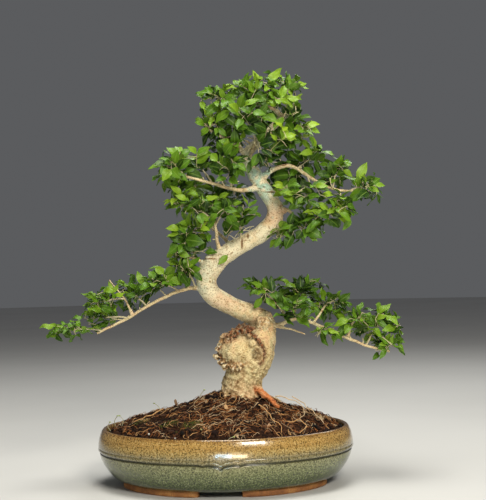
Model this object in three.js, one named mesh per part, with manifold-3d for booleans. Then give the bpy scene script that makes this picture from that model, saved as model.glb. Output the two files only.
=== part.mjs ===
// A Chinese privet bonsai in its oval glazed pot.
// Millimetres, +Z up. The origin is on the ground under the pot's centre, and -Y is the front.

import * as THREE from 'three';
import { mergeVertices } from 'three/addons/utils/BufferGeometryUtils.js';
import Module from 'manifold-3d';

const wasm = await Module();
wasm.setup();

// Driving dimensions
const GAP = 0.3;
const UP = new THREE.Vector3(0, 0, 1);

const POT_LENGTH = 300;
const POT_DEPTH = 232;
const POT_HEIGHT = 66;
const POT_TURN = THREE.MathUtils.degToRad(-2.5);
const POT_SIDES = 32;
const BASE_HEIGHT = 6;
const FLOOR_HEIGHT = 13;
const FOOT_INNER = 108;
const FOOT_OUTER = 124;
const FOOT_ARC_DEGREES = [12, 78];
const DRAIN_HOLE_RADIUS = 9;
const DRAIN_HOLE_X = 56;
const SCREEN_SIZE = 28;
const SCREEN_THICKNESS = 1.2;
const SCREEN_OPENING = 9;
const SCREEN_PITCH = 6.5;

const MOUND_LEAN = 14;
const SOIL_RELIEF = 1.3;

const LEAF_LENGTH = [14.5, 21];
const LEAF_HALF_WIDTH = 0.26;
const LEAF_THICKNESS = 0.8;
const LEAF_TRIES = 14;
const PAIR_SPACING = 7;
const PAIRS_A_SHOOT = 3;
const LEAVES_A_SPRAY = 7;
const STEM_RADII = [1.4, 1.0];
const SHOOT_RADII = [0.85, 0.6];
const SHOOT_REACH = [0.45, 0.8];
const SHOOT_BOW = 0.12;
const SHOOT_SLACK = 1.03;
const FAN = 1.3;
const CLEAR_OF_OTHERS = 2.4;
const CLEAR_OF_OWN = 1.5;
const CLEAR_OF_WOOD = 1.7;
const LEAF_ROOM = 4;
const TREE_AXIS = new THREE.Vector3(30, 8, 0);

// The wood. Each row is x, y, z and the radius there.
const LOWER_TRUNK = [
  [19, 0, 58, 23], [19, 0, 80, 27], [20, 0, 98, 25], [20.5, 0, 112, 23.4], [24.5, -1, 126, 22.6],
  [32, -2, 142, 24.4], [38, 0, 157, 24], [45, 2, 172, 18.4], [47, 3, 186, 15], [48, 3, 197, 10],
];
const LEADER = [
  [53, 3, 187, 11.5], [41, 3, 192, 12.6], [24, 3, 200, 11.3], [6, 0, 208, 11.1], [-11, -3, 220, 11.5],
  [-18, -5, 234, 12], [-14, -5, 249, 12.8], [-2, -3, 262, 11.8], [15, 0, 273, 10.6], [34, 3, 283, 9.8],
  [52, 5, 294, 10.2], [63, 6, 306, 10.6], [65, 5, 320, 10], [59, 4, 333, 9], [51, 2, 345, 8.8],
  [43, 0, 358, 8.6], [36, 0, 371, 7.2], [33, 2, 383, 5.9], [37, 4, 392, 5.4], [47, 5, 400, 5],
  [61, 4, 413, 4.6], [78, 2, 429, 4.3],
];
const BRANCHES = {
  low_left: [[-18, -5, 228, 3.6], [-29, -6, 228, 2.8], [-47, -8, 226, 2.4], [-78, -14, 213, 2.2],
    [-110, -20, 195, 2.1], [-145, -26, 179, 1.9]],
  low_right: [[51, 0, 185, 4], [64, -8, 182, 2.8], [77, -14, 187, 2.5], [88, -18, 190, 2.3],
    [106, -20, 184, 2.2], [135, -22, 171, 2.1], [170, -22, 156, 2], [193, -20, 150, 1.8]],
  low_right_thin: [[64, -8, 181, 1.6], [82, -14, 177, 1.2], [96, -20, 172, 1]],
  low_right_rise: [[76, -14, 188, 1.8], [68, -8, 202, 1.4], [54, -4, 218, 1.2]],
  low_right_mid: [[82, -15, 188, 1.8], [87, -4, 203, 1.5], [99, 8, 216, 1.2]],
  low_right_fork: [[106, -20, 185, 1.8], [115, -14, 196, 1.5], [123, -6, 208, 1.2]],
  low_right_stub: [[145, -22, 168, 1.7], [151, -19, 183, 1.5], [164, -15, 196, 1.3]],
  low_left_stub: [[-104, -19, 198, 1.7], [-112, -16, 215, 1.5], [-131, -12, 240, 1.2]],
  mid_left: [[48, 2, 346, 3.6], [32, -8, 342, 2.8], [21, -12, 342, 2.6], [7, -15, 345, 2.4],
    [-13, -18, 351, 2.2], [-41, -24, 359, 1.9]],
  rise_left: [[-1, -3, 268, 3], [-4, -12, 284, 2.2], [-5, -16, 295, 2], [-5, -18, 306, 1.8]],
  bend_left: [[-17, -6, 256, 2.6], [-33, -12, 263, 1.8], [-47, -18, 266, 1.5]],
  mid_right: [[50, 2, 355, 3.8], [60, 2, 364, 3], [73, 0, 369, 2.8], [85, -2, 369, 2.6],
    [100, -6, 360, 2.4], [119, -12, 346, 2.2], [141, -16, 338, 1.9], [156, -19, 338, 1.6]],
  nub_right: [[66, 2, 318, 5], [73, 0, 318.5, 3.6], [81, -2, 316, 2.2], [90, -10, 304, 1.7],
    [97, -14, 294, 1.4]],
  crown_left: [[35, 2, 382, 3.2], [20, -6, 395, 2.4], [0, -10, 407, 2], [-14, -12, 416, 1.7]],
  crown_top_left: [[76, 2, 428, 3], [65, -6, 437, 2.3], [49, -12, 438, 2], [30, -18, 440, 1.8],
    [12, -22, 440, 1.5]],
  crown_tip: [[76, 2, 427, 3], [83, 3, 443, 2], [88, 2, 454, 1.5]],
  crown_back: [[42, 4, 396, 3], [46, 20, 406, 2.2], [48, 38, 414, 1.7]],
  crown_front: [[35, 0, 376, 3], [40, -14, 388, 2.1], [44, -28, 400, 1.6]],
  mid_back: [[59, 5, 330, 3.6], [62, 22, 338, 2.5], [70, 44, 344, 2], [80, 62, 350, 1.6]],
  left_back: [[14, 1, 274, 3.2], [4, 18, 286, 2.3], [-10, 38, 298, 1.9], [-24, 54, 306, 1.5]],
};
const ROOTS = [
  [[24, -14, 112, 6], [36, -24, 100, 4.6], [52, -33, 92, 2.6], [64, -38, 82, 1.6]],
  [[30, 6, 110, 7], [48, 8, 101, 5], [66, 12, 93, 2.8], [78, 14, 82, 1.6]],
  [[8, -12, 110, 7], [-6, -20, 100, 5], [-22, -27, 92, 2.8], [-32, -31, 80, 1.6]],
  [[6, 8, 110, 7], [-8, 20, 100, 5], [-20, 32, 91, 3], [-28, 40, 78, 1.8]],
  [[26, 14, 110, 7], [34, 28, 100, 5], [42, 42, 90, 3], [46, 50, 78, 1.8]],
];

// The burl is an old wound on the left of the trunk: a swelling with a ragged rim round bare wood.
const BURL = { middle: [16, -7, 153], half: [22, 21, 22] };
const BURL_HOLLOW = { middle: [38, -26, 149], half: [6, 6, 9] };
const BURL_RIM = { middle: [23, -24, 154], half: [21, 3, 22] };
const BURL_CRUMBS = 7;
const KNOT = { middle: [47, -10, 186], half: [9, 6.5, 8.5] };
const OLD_WOUND = { middle: [-13, -13, 262], half: [5, 4, 6] };

// Each spray grows from a limb at a share of its length. Its shoots fill the space round its
// middle, half of that space's size each way, and fan out to both sides of its heading in degrees.
// The leaves of all the sprays together stay in these spaces, which makes the tree's outline.
const SPRAYS = [
  ['left_tip', 'low_left', 0.97, [-179, -30, 184], [23, 18, 7], 180, 3],
  ['left_outer', 'low_left', 0.8, [-143, -14, 196], [23, 20, 11], 130, 2],
  ['left_stub', 'low_left_stub', 0.55, [-140, -22, 215], [20, 20, 12], 200, 2],
  ['left_middle', 'low_left', 0.66, [-108, -6, 225], [19, 22, 16], 110, 2],
  ['left_inner', 'low_left', 0.42, [-75, -16, 236], [20, 22, 12], 200, 2],
  ['left_root', 'low_left', 0.22, [-39, -22, 250], [14, 18, 15], 230, 2],
  ['right_tip', 'low_right', 0.97, [189, -20, 157], [19, 18, 12], 350, 3],
  ['right_outer', 'low_right', 0.84, [186, -4, 185], [19, 20, 14], 60, 2],
  ['right_stub', 'low_right_stub', 0.6, [156, -26, 187], [15, 20, 14], 270, 2],
  ['right_fork', 'low_right_fork', 0.97, [134, -6, 209], [16, 20, 12], 30, 2],
  ['right_middle', 'low_right_mid', 0.97, [99, 10, 226], [20, 20, 12], 90, 2],
  ['right_inner', 'low_right_rise', 0.9, [48, -8, 224], [23, 20, 15], 170, 3],
  ['right_front', 'low_right', 0.28, [82, -32, 203], [23, 18, 15], 270, 2],
  ['right_under', 'low_right', 0.56, [119, -32, 173], [16, 14, 7], 250, 2],
  ['mid_left_tip', 'mid_left', 0.97, [-55, -26, 370], [20, 22, 20], 190, 3],
  ['mid_left_middle', 'mid_left', 0.75, [-25, -4, 374], [21, 24, 19], 110, 2],
  ['mid_left_root', 'mid_left', 0.5, [12, -28, 369], [17, 20, 17], 250, 2],
  ['mid_left_under', 'mid_left', 0.45, [17, 8, 337], [30, 20, 11], 220, 2],
  ['rise_left_tip', 'rise_left', 0.97, [-30, -24, 321], [20, 22, 14], 190, 3],
  ['rise_left_top', 'rise_left', 0.85, [8, -30, 319], [21, 18, 14], 310, 2],
  ['rise_left_inner', 'leader', 0.4, [27, -24, 307], [20, 14, 19], 250, 2],
  ['bend_left_tip', 'bend_left', 0.97, [-37, -22, 289], [20, 20, 13], 200, 2],
  ['bend_left_low', 'bend_left', 0.5, [-30, -8, 272], [18, 18, 12], 160, 2],
  ['left_back_tip', 'left_back', 0.95, [-22, 56, 319], [21, 20, 16], 110, 2],
  ['mid_right_tip', 'mid_right', 0.97, [171, -18, 341], [17, 20, 14], 350, 3],
  ['mid_right_outer', 'mid_right', 0.8, [138, 2, 361], [19, 22, 15], 70, 2],
  ['mid_right_low', 'mid_right', 0.86, [140, -26, 318], [16, 18, 19], 290, 2],
  ['mid_right_under', 'mid_right', 0.6, [109, -24, 331], [19, 18, 20], 250, 2],
  ['mid_right_root', 'mid_right', 0.5, [108, 2, 378], [20, 22, 15], 60, 2],
  ['nub_right_tip', 'nub_right', 0.97, [96, -16, 298], [22, 18, 16], 310, 3],
  ['nub_right_low', 'leader', 0.53, [70, -16, 287], [12, 12, 9], 260, 2],
  ['mid_back_tip', 'mid_back', 0.9, [82, 48, 352], [23, 22, 25], 80, 3],
  ['crown_left_tip', 'crown_left', 0.97, [-3, -12, 422], [18, 22, 18], 190, 3],
  ['crown_left_root', 'crown_left', 0.5, [5, 8, 395], [23, 22, 17], 160, 2],
  ['crown_top_left', 'crown_top_left', 0.97, [0, -22, 450], [21, 20, 12], 200, 2],
  ['crown_top', 'crown_top_left', 0.6, [39, -14, 460], [23, 22, 15], 240, 3],
  ['crown_tip', 'crown_tip', 0.97, [78, 2, 462], [21, 20, 19], 30, 3],
  ['crown_right', 'leader', 0.94, [86, -16, 429], [14, 20, 16], 310, 2],
  ['crown_front', 'crown_front', 0.97, [33, -32, 422], [22, 18, 22], 250, 3],
  ['crown_back', 'crown_back', 0.97, [57, 42, 427], [24, 22, 24], 90, 3],
  ['crown_middle', 'leader', 0.84, [82, -8, 397], [18, 22, 14], 330, 2],
  ['crown_low', 'leader', 0.75, [60, -24, 377], [19, 14, 16], 280, 2],
];

const COLOURS = {
  glaze: 0x6f7656,
  soil: 0x3b2418,
  screen: 0x24261f,
  bark: 0xb9a283,
  leaf: 0x3f7d22,
};

// Solids
function randomFrom(seed) {
  let state = seed >>> 0;
  return () => {
    state = (state + 0x6d2b79f5) >>> 0;
    let mixed = Math.imul(state ^ (state >>> 15), state | 1);
    mixed ^= mixed + Math.imul(mixed ^ (mixed >>> 7), mixed | 61);
    return ((mixed ^ (mixed >>> 14)) >>> 0) / 4294967296;
  };
}

function vector(row) {
  return new THREE.Vector3(row[0], row[1], row[2]);
}

function signedVolume(positions, indices) {
  const [a, b, c] = [new THREE.Vector3(), new THREE.Vector3(), new THREE.Vector3()];
  let sum = 0;
  for (let i = 0; i < indices.length; i += 3) {
    a.fromArray(positions, indices[i] * 3);
    b.fromArray(positions, indices[i + 1] * 3);
    c.fromArray(positions, indices[i + 2] * 3);
    sum += a.dot(b.cross(c)) / 6;
  }
  return sum;
}

function solid(geometry) {
  const bare = geometry.clone();
  bare.deleteAttribute('normal');
  bare.deleteAttribute('uv');
  const welded = mergeVertices(bare, 1e-4);
  const positions = welded.attributes.position.array;
  const source = welded.index.array;
  const kept = [];
  for (let i = 0; i < source.length; i += 3) {
    const [a, b, c] = [source[i], source[i + 1], source[i + 2]];
    if (a !== b && b !== c && c !== a) kept.push(a, b, c);
  }
  if (signedVolume(positions, kept) < 0) kept.reverse();
  const vertProperties = new Float32Array(positions);
  const triVerts = new Uint32Array(kept);
  return new wasm.Manifold(new wasm.Mesh({ numProp: 3, vertProperties, triVerts }));
}

function largestBody(body) {
  const bodies = body.decompose();
  return bodies.reduce((best, next) => (next.volume() > best.volume() ? next : best));
}

function joined(bodies) {
  return bodies.reduce((sum, next) => sum.add(next));
}

function meshOf(name, body, colour, roughness) {
  const data = body.getMesh();
  const geometry = new THREE.BufferGeometry();
  geometry.setAttribute('position', new THREE.BufferAttribute(data.vertProperties, 3));
  geometry.setIndex(new THREE.BufferAttribute(data.triVerts, 1));
  const material = new THREE.MeshStandardMaterial({ color: colour, roughness, metalness: 0 });
  const mesh = new THREE.Mesh(geometry, material);
  mesh.name = name;
  return mesh;
}

function oval(profile, sides) {
  const points = profile.map(([radius, height]) => new THREE.Vector2(radius, height));
  const geometry = new THREE.LatheGeometry(points, sides);
  geometry.rotateX(Math.PI / 2);
  geometry.scale(1, POT_DEPTH / POT_LENGTH, 1);
  geometry.rotateZ(POT_TURN);
  return geometry;
}

function box(size, middle) {
  const geometry = new THREE.BoxGeometry(size[0], size[1], size[2]);
  geometry.translate(middle[0], middle[1], middle[2]);
  return solid(geometry);
}

// The pot: thick walls, an incurved lip over a groove, a rounded body and four low feet
function potBody() {
  const half = POT_LENGTH / 2;
  const outside = [
    [0, BASE_HEIGHT], [124, BASE_HEIGHT], [134, 12], [142, 23], [147.5, 35], [148.5, 38.2],
    [147, 39.4], [149, 41], [half, 48], [148.6, 57], [145, 63.5],
  ];
  const lip = [[142.2, POT_HEIGHT], [139.6, 64.5]];
  let body = solid(oval([...outside, ...lip, ...POT_INSIDE], POT_SIDES));
  for (const turn of [0, 1, 2, 3]) body = body.add(foot(turn));
  for (const side of [-1, 1]) {
    const drill = new THREE.CylinderGeometry(DRAIN_HOLE_RADIUS, DRAIN_HOLE_RADIUS, 30, 12);
    drill.rotateX(Math.PI / 2);
    drill.translate(side * DRAIN_HOLE_X, 0, FLOOR_HEIGHT);
    body = body.subtract(solid(drill));
  }
  return body;
}

const POT_INSIDE = [[138.6, 46], [133, 28], [121, 15.5], [112, FLOOR_HEIGHT], [0, FLOOR_HEIGHT]];

function foot(turn) {
  const [from, to] = FOOT_ARC_DEGREES.map((degrees) => THREE.MathUtils.degToRad(degrees));
  const mirrored = turn % 2 === 1;
  const start = turn * Math.PI / 2 + (mirrored ? Math.PI / 2 - to : from);
  const end = turn * Math.PI / 2 + (mirrored ? Math.PI / 2 - from : to);
  const ratio = POT_DEPTH / POT_LENGTH;
  const shape = new THREE.Shape();
  shape.absellipse(0, 0, FOOT_OUTER, FOOT_OUTER * ratio, start, end, false);
  shape.absellipse(0, 0, FOOT_INNER, FOOT_INNER * ratio, end, start, true);
  const depth = BASE_HEIGHT + 1.5;
  const geometry = new THREE.ExtrudeGeometry(shape, { depth, bevelEnabled: false, curveSegments: 4 });
  geometry.rotateZ(POT_TURN);
  return solid(geometry);
}

// A square of plastic mesh lies over each drain hole, under the soil
function screenBody(side) {
  const bottom = FLOOR_HEIGHT + GAP;
  const middle = [side * DRAIN_HOLE_X, 0, bottom + SCREEN_THICKNESS / 2];
  let body = box([SCREEN_SIZE, SCREEN_SIZE, SCREEN_THICKNESS], middle);
  for (const column of [-1, 1]) {
    for (const row of [-1, 1]) {
      const place = [middle[0] + column * SCREEN_PITCH, row * SCREEN_PITCH, middle[2]];
      body = body.subtract(box([SCREEN_OPENING, SCREEN_OPENING, SCREEN_THICKNESS * 3], place));
    }
  }
  return body;
}

// The soil: it fills the pot and rises in a mound towards the trunk
function soilBody() {
  const clear = GAP + 0.05;
  const wall = POT_INSIDE.slice(0, -2).map(([radius, height]) => [radius - clear, height]);
  const floor = [[112 - clear, FLOOR_HEIGHT + clear], [0, FLOOR_HEIGHT + clear]];
  const mound = [
    [0, 106], [22, 103], [42, 96], [64, 87.5], [88, 80.5], [110, 75], [126, 69], [137.4, 61],
  ];
  const geometry = oval([...mound, ...wall, ...floor], POT_SIDES);
  const position = geometry.attributes.position;
  const draw = randomFrom(11);
  const relief = new Map();
  for (let i = 0; i < position.count; i += 1) {
    const [x, y, z] = [position.getX(i), position.getY(i), position.getZ(i)];
    if (z < 65) continue;
    const key = `${Math.round(x * 10)} ${Math.round(y * 10)}`;
    if (!relief.has(key)) relief.set(key, (draw() * 2 - 1) * SOIL_RELIEF);
    const across = Math.hypot(x / 139, y * POT_LENGTH / POT_DEPTH / 139);
    position.setX(i, x + MOUND_LEAN * (1 - across) * Math.min(1, across * 4));
    position.setZ(i, z + relief.get(key));
  }
  let body = solid(geometry);
  const room = GAP * 2;
  for (const side of [-1, 1]) {
    const size = [SCREEN_SIZE + room, SCREEN_SIZE + room, SCREEN_THICKNESS + room];
    const height = FLOOR_HEIGHT + GAP + SCREEN_THICKNESS / 2;
    body = body.subtract(box(size, [side * DRAIN_HOLE_X, 0, height]));
  }
  return largestBody(body.subtract(woodBody(GAP)));
}

// A limb is a tube on a smooth curve through its rows, with the radius that each row gives
function limbCurve(rows) {
  const curve = new THREE.CatmullRomCurve3(rows.map(vector), false, 'catmullrom', 0.5);
  const spans = rows.length - 1;
  const radiusAt = (t) => {
    const span = Math.min(Math.floor(t * spans), spans - 1);
    return THREE.MathUtils.lerp(rows[span][3], rows[span + 1][3], t * spans - span);
  };
  return { at: (t) => curve.getPoint(t), radiusAt, length: curve.getLength() };
}

function tube(path, sides, steps, grow, bumps) {
  const positions = [];
  const indices = [];
  let across = null;
  for (let i = 0; i <= steps; i += 1) {
    const t = i / steps;
    const middle = path.at(t);
    const ahead = path.at(Math.min(1, t + 0.01)).sub(path.at(Math.max(0, t - 0.01))).normalize();
    if (!across) across = new THREE.Vector3(0.31, 0.95, 0.07);
    across = across.clone().addScaledVector(ahead, -across.dot(ahead)).normalize();
    const other = new THREE.Vector3().crossVectors(ahead, across);
    for (let k = 0; k < sides; k += 1) {
      const angle = 2 * Math.PI * k / sides;
      const waves = Math.sin(3 * angle + middle.z * 0.09) + Math.sin(5 * angle - middle.z * 0.21);
      const swell = 1 + bumps * waves;
      const radius = path.radiusAt(t) * swell + grow;
      const point = middle.clone().addScaledVector(across, Math.cos(angle) * radius);
      point.addScaledVector(other, Math.sin(angle) * radius);
      positions.push(point.x, point.y, point.z);
      if (i === steps) continue;
      const [here, next] = [i * sides + k, i * sides + (k + 1) % sides];
      indices.push(here, next, next + sides, here, next + sides, here + sides);
    }
  }
  const last = steps * sides;
  for (let k = 1; k < sides - 1; k += 1) {
    indices.push(0, k + 1, k, last, last + k, last + k + 1);
  }
  const geometry = new THREE.BufferGeometry();
  geometry.setAttribute('position', new THREE.Float32BufferAttribute(positions, 3));
  geometry.setIndex(indices);
  return solid(geometry);
}

function lump(shape, columns, rows, roughness, grow) {
  const geometry = new THREE.SphereGeometry(1, columns, rows);
  const position = geometry.attributes.position;
  for (let i = 0; i < position.count; i += 1) {
    const [x, y, z] = [position.getX(i), position.getY(i), position.getZ(i)];
    const waves = Math.sin(7 * x + 5 * z) + Math.sin(9 * y - 4 * z) + Math.sin(11 * z + 3 * x);
    const swell = 1 + roughness * waves;
    position.setXYZ(
      i,
      shape.middle[0] + x * (shape.half[0] * swell + grow),
      shape.middle[1] + y * (shape.half[1] * swell + grow),
      shape.middle[2] + z * (shape.half[2] * swell + grow),
    );
  }
  return solid(geometry);
}

// The trunk, its branches, roots and old wounds are one grown piece
function woodBody(grow) {
  const bodies = [
    tube(limbCurve(LOWER_TRUNK), 12, 12, grow, 0.022),
    tube(limbCurve(LEADER), 9, 32, grow, 0.022),
    lump(BURL, 12, 9, 0.035, grow),
    lump(KNOT, 8, 6, 0.05, grow),
    lump(OLD_WOUND, 8, 6, 0.08, grow),
  ];
  const draw = randomFrom(29);
  for (let i = 0; i < BURL_CRUMBS; i += 1) {
    const angle = 2 * Math.PI * (i + 0.3 + draw() * 0.4) / BURL_CRUMBS;
    const size = 2.2 + 2.2 * draw();
    const middle = [
      BURL_RIM.middle[0] + Math.cos(angle) * BURL_RIM.half[0] * (0.9 + 0.15 * draw()),
      BURL_RIM.middle[1] + Math.abs(Math.cos(angle)) * 9 + BURL_RIM.half[1] * draw(),
      BURL_RIM.middle[2] + Math.sin(angle) * BURL_RIM.half[2] * (0.9 + 0.15 * draw()),
    ];
    const crumb = new THREE.IcosahedronGeometry(size + grow, 0);
    crumb.rotateZ(angle);
    crumb.translate(middle[0], middle[1], middle[2]);
    bodies.push(solid(crumb));
  }
  for (const rows of Object.values(BRANCHES)) {
    const path = limbCurve(rows);
    bodies.push(tube(path, 4, Math.ceil(path.length / 20), grow, 0));
  }
  for (const rows of ROOTS) bodies.push(tube(limbCurve(rows), 5, 4, grow, 0));
  const hollow = lump(BURL_HOLLOW, 10, 8, 0.05, -grow);
  return joined(bodies).subtract(hollow);
}

// Room: what a new shoot or leaf must keep clear of
const limbs = { leader: limbCurve(LEADER), lower_trunk: limbCurve(LOWER_TRUNK) };
for (const [name, rows] of Object.entries(BRANCHES)) limbs[name] = limbCurve(rows);

const SPANS_A_LIMB = 24;
const woodSpans = [];
for (const limb of Object.values(limbs)) {
  const steps = SPANS_A_LIMB;
  for (let i = 0; i < steps; i += 1) {
    const [t, u] = [i / steps, (i + 1) / steps];
    const radius = Math.max(limb.radiusAt(t), limb.radiusAt(u));
    woodSpans.push({ from: limb.at(t), to: limb.at(u), radius });
  }
}

function clearOfWood(point, margin) {
  return woodSpans.every(({ from, to, radius }) => {
    const span = to.clone().sub(from);
    const share = THREE.MathUtils.clamp(point.clone().sub(from).dot(span) / span.lengthSq(), 0, 1);
    return from.clone().addScaledVector(span, share).distanceTo(point) > radius + margin;
  });
}

// Cells a little wider than the widest clearance, so that only neighbouring cells are searched
const cellSize = 3;
const cells = new Map();
function cellOf(point) {
  return [point.x, point.y, point.z].map((value) => Math.floor(value / cellSize));
}

function clearOfGrowth(point, owner) {
  const [column, row, layer] = cellOf(point);
  for (const i of [-1, 0, 1]) {
    for (const j of [-1, 0, 1]) {
      for (const k of [-1, 0, 1]) {
        const found = cells.get(`${column + i} ${row + j} ${layer + k}`) ?? [];
        for (const other of found) {
          const least = other.owner === owner ? CLEAR_OF_OWN : CLEAR_OF_OTHERS;
          if (other.point.distanceTo(point) < least) return false;
        }
      }
    }
  }
  return true;
}

function inTheCrown(point) {
  return SPRAYS.some(([, , , middle, reach]) => {
    const x = (point.x - middle[0]) / (reach[0] + LEAF_ROOM);
    const y = (point.y - middle[1]) / (reach[1] + LEAF_ROOM);
    const z = (point.z - middle[2]) / (reach[2] + LEAF_ROOM);
    return x * x + y * y + z * z < 1;
  });
}

function take(points, owner) {
  for (const point of points) {
    const key = cellOf(point).join(' ');
    if (!cells.has(key)) cells.set(key, []);
    cells.get(key).push({ point, owner });
  }
}

// Stems and shoots bow upward a little between their two ends
function twig(from, to, radii) {
  const lift = from.distanceTo(to) * SHOOT_BOW;
  const bend = from.clone().lerp(to, 0.5).addScaledVector(UP, lift);
  const curve = new THREE.QuadraticBezierCurve3(from, bend, to);
  return {
    at: (t) => curve.getPoint(t),
    radiusAt: (t) => THREE.MathUtils.lerp(radii[0], radii[1], t),
    length: from.distanceTo(to) * SHOOT_SLACK,
  };
}

function alongTwig(path, from) {
  const steps = Math.ceil(path.length / 1.6);
  const points = [];
  for (let i = 0; i <= steps; i += 1) {
    const t = i / steps;
    if (t * path.length >= from) points.push(path.at(t));
  }
  return points;
}

// A leaf is a pointed oval, folded up along its midrib and arched towards its tip
const LEAF_OUTLINE = [[0, 0], [0.3, 0.92], [0.64, 0.82], [1, 0]];

function leafHalfWidth(u) {
  for (let i = 1; i < LEAF_OUTLINE.length; i += 1) {
    const [[u0, w0], [u1, w1]] = [LEAF_OUTLINE[i - 1], LEAF_OUTLINE[i]];
    if (u <= u1) return w0 + (w1 - w0) * (u - u0) / (u1 - u0);
  }
  return 0;
}

function leafPoint(leaf, u, side) {
  const halfWidth = leafHalfWidth(u) * leaf.length * LEAF_HALF_WIDTH;
  const rise = leaf.length * (leaf.rise * u - leaf.droop * u * u) + leaf.fold * Math.abs(side) * halfWidth;
  return leaf.root.clone()
    .addScaledVector(leaf.ahead, leaf.length * u)
    .addScaledVector(leaf.across, side * halfWidth)
    .addScaledVector(leaf.normal, rise);
}

function leafSamples(leaf) {
  const points = [];
  for (let i = 2; i <= 10; i += 1) {
    const sides = i === 10 ? [0] : [-1, -0.5, 0, 0.5, 1];
    for (const side of sides) points.push(leafPoint(leaf, i / 10, side));
  }
  return points;
}

// The blade is flat on top between its edges, with the fold as a keel under its middle
function leafBody(leaf) {
  const [wide, narrow] = [LEAF_OUTLINE[1][0], LEAF_OUTLINE[2][0]];
  const outline = [[0, 0], [wide, 1], [narrow, 1], [1, 0], [narrow, -1], [wide, -1]];
  const corners = outline.map(([u, side]) => leafPoint(leaf, u, side));
  const [, right, farRight, , farLeft, left] = corners;
  const keel = right.clone().add(farRight).add(farLeft).add(left).divideScalar(4);
  keel.addScaledVector(leaf.normal, -LEAF_THICKNESS);
  const indices = [0, 1, 5, 5, 1, 2, 5, 2, 4, 4, 2, 3];
  for (let i = 0; i < corners.length; i += 1) indices.push((i + 1) % corners.length, i, corners.length);
  const geometry = new THREE.BufferGeometry();
  geometry.setFromPoints([...corners, keel]);
  geometry.setIndex(indices);
  return solid(geometry);
}

// The growth: first every stem, then the shoots, then the leaves, so that each one finds its room
const sprays = SPRAYS.map(([name, limb, share, middle, reach, heading, shootCount], index) => {
  const from = limbs[limb].at(share);
  const stem = twig(from, vector(middle).lerp(from, 0.2), STEM_RADII);
  take(alongTwig(stem, limbs[limb].radiusAt(share)), index);
  const turn = THREE.MathUtils.degToRad(heading);
  return { name, index, middle: vector(middle), reach, turn, stem, shootCount, shoots: [], leaves: [] };
});

function growShoot(spray, number) {
  const draw = randomFrom(1000 + spray.index * 10 + number);
  const from = spray.stem.at(1 - 0.2 * number);
  const turn = spray.turn + (number - (spray.shootCount - 1) / 2) * FAN;
  for (let attempt = 0; attempt < LEAF_TRIES; attempt += 1) {
    const height = (number + 0.5) / spray.shootCount * 1.4 - 0.45 + (draw() - 0.5) * 0.5;
    const angle = turn + (draw() - 0.5) * 0.9;
    const share = THREE.MathUtils.lerp(SHOOT_REACH[0], SHOOT_REACH[1], draw());
    const level = Math.sqrt(Math.max(0, 1 - height * height));
    const to = spray.middle.clone();
    to.x += spray.reach[0] * share * level * Math.cos(angle);
    to.y += spray.reach[1] * share * level * Math.sin(angle);
    to.z += spray.reach[2] * share * height;
    const shoot = twig(from, to, SHOOT_RADII);
    const points = alongTwig(shoot, 4);
    if (points.every((p) => clearOfGrowth(p, spray.index) && clearOfWood(p, CLEAR_OF_WOOD))) {
      take(points, spray.index);
      spray.shoots.push(shoot);
      return;
    }
  }
}

function growLeaf(spray, shoot, shootNumber, slot) {
  if (spray.leaves.length >= LEAVES_A_SPRAY) return;
  const draw = randomFrom(50000 + spray.index * 400 + shootNumber * 40 + slot);
  const pair = Math.floor(slot / 2);
  const side = slot % 2 === 0 ? 1 : -1;
  const atTip = pair === 0;
  const t = Math.max(0.12, 1 - (pair * PAIR_SPACING + 1) / shoot.length);
  const root = shoot.at(t);
  const along = shoot.at(t).sub(shoot.at(t - 0.05)).normalize();
  const outward = root.clone().sub(spray.middle).normalize();
  const awayFromAxis = root.clone().sub(TREE_AXIS).setZ(0).normalize();
  const level = new THREE.Vector3().crossVectors(along, UP).normalize();
  const raised = new THREE.Vector3().crossVectors(level, along);
  for (let attempt = 0; attempt < LEAF_TRIES; attempt += 1) {
    const length = THREE.MathUtils.lerp(LEAF_LENGTH[0], LEAF_LENGTH[1], draw()) * (atTip ? 0.9 : 1);
    const roll = (pair % 2) * 0.9 + (draw() - 0.5) * 1.1;
    const opening = (atTip ? 0.55 : 1) + (draw() - 0.5) * 0.5;
    const aside = level.clone().multiplyScalar(side * Math.cos(roll));
    aside.addScaledVector(raised, Math.abs(Math.sin(roll)));
    const ahead = along.clone().multiplyScalar(Math.cos(opening));
    ahead.addScaledVector(aside, Math.sin(opening));
    ahead.z -= 0.3 * draw();
    ahead.normalize();
    const normal = UP.clone().multiplyScalar(0.45).addScaledVector(outward, 0.45);
    normal.addScaledVector(awayFromAxis, 0.35);
    normal.x += (draw() - 0.5) * 1.1;
    normal.y += (draw() - 0.65) * 1.3;
    normal.addScaledVector(ahead, -normal.dot(ahead)).normalize();
    const across = new THREE.Vector3().crossVectors(ahead, normal);
    const rise = 0.1 + 0.15 * draw();
    const droop = 0.15 + 0.35 * draw();
    const fold = 0.2 + 0.3 * draw();
    const leaf = { root, ahead, normal, across, length, rise, droop, fold };
    const points = leafSamples(leaf);
    if (!points.every(inTheCrown)) continue;
    if (points.every((p) => clearOfGrowth(p, spray.index) && clearOfWood(p, CLEAR_OF_WOOD))) {
      take(points, spray.index);
      spray.leaves.push(leaf);
      return;
    }
  }
}

for (const number of [0, 1, 2]) {
  for (const spray of sprays) {
    if (number < spray.shootCount) growShoot(spray, number);
  }
}
for (let slot = 0; slot < PAIRS_A_SHOOT * 2; slot += 1) {
  for (const spray of sprays) {
    spray.shoots.forEach((shoot, number) => growLeaf(spray, shoot, number, slot));
  }
}

function sprayBody(spray, wood) {
  const bodies = [tube(spray.stem, 4, 2, 0, 0)];
  for (const shoot of spray.shoots) bodies.push(tube(shoot, 3, 2, 0, 0));
  for (const leaf of spray.leaves) bodies.push(leafBody(leaf));
  return largestBody(joined(bodies).subtract(wood));
}

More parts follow.
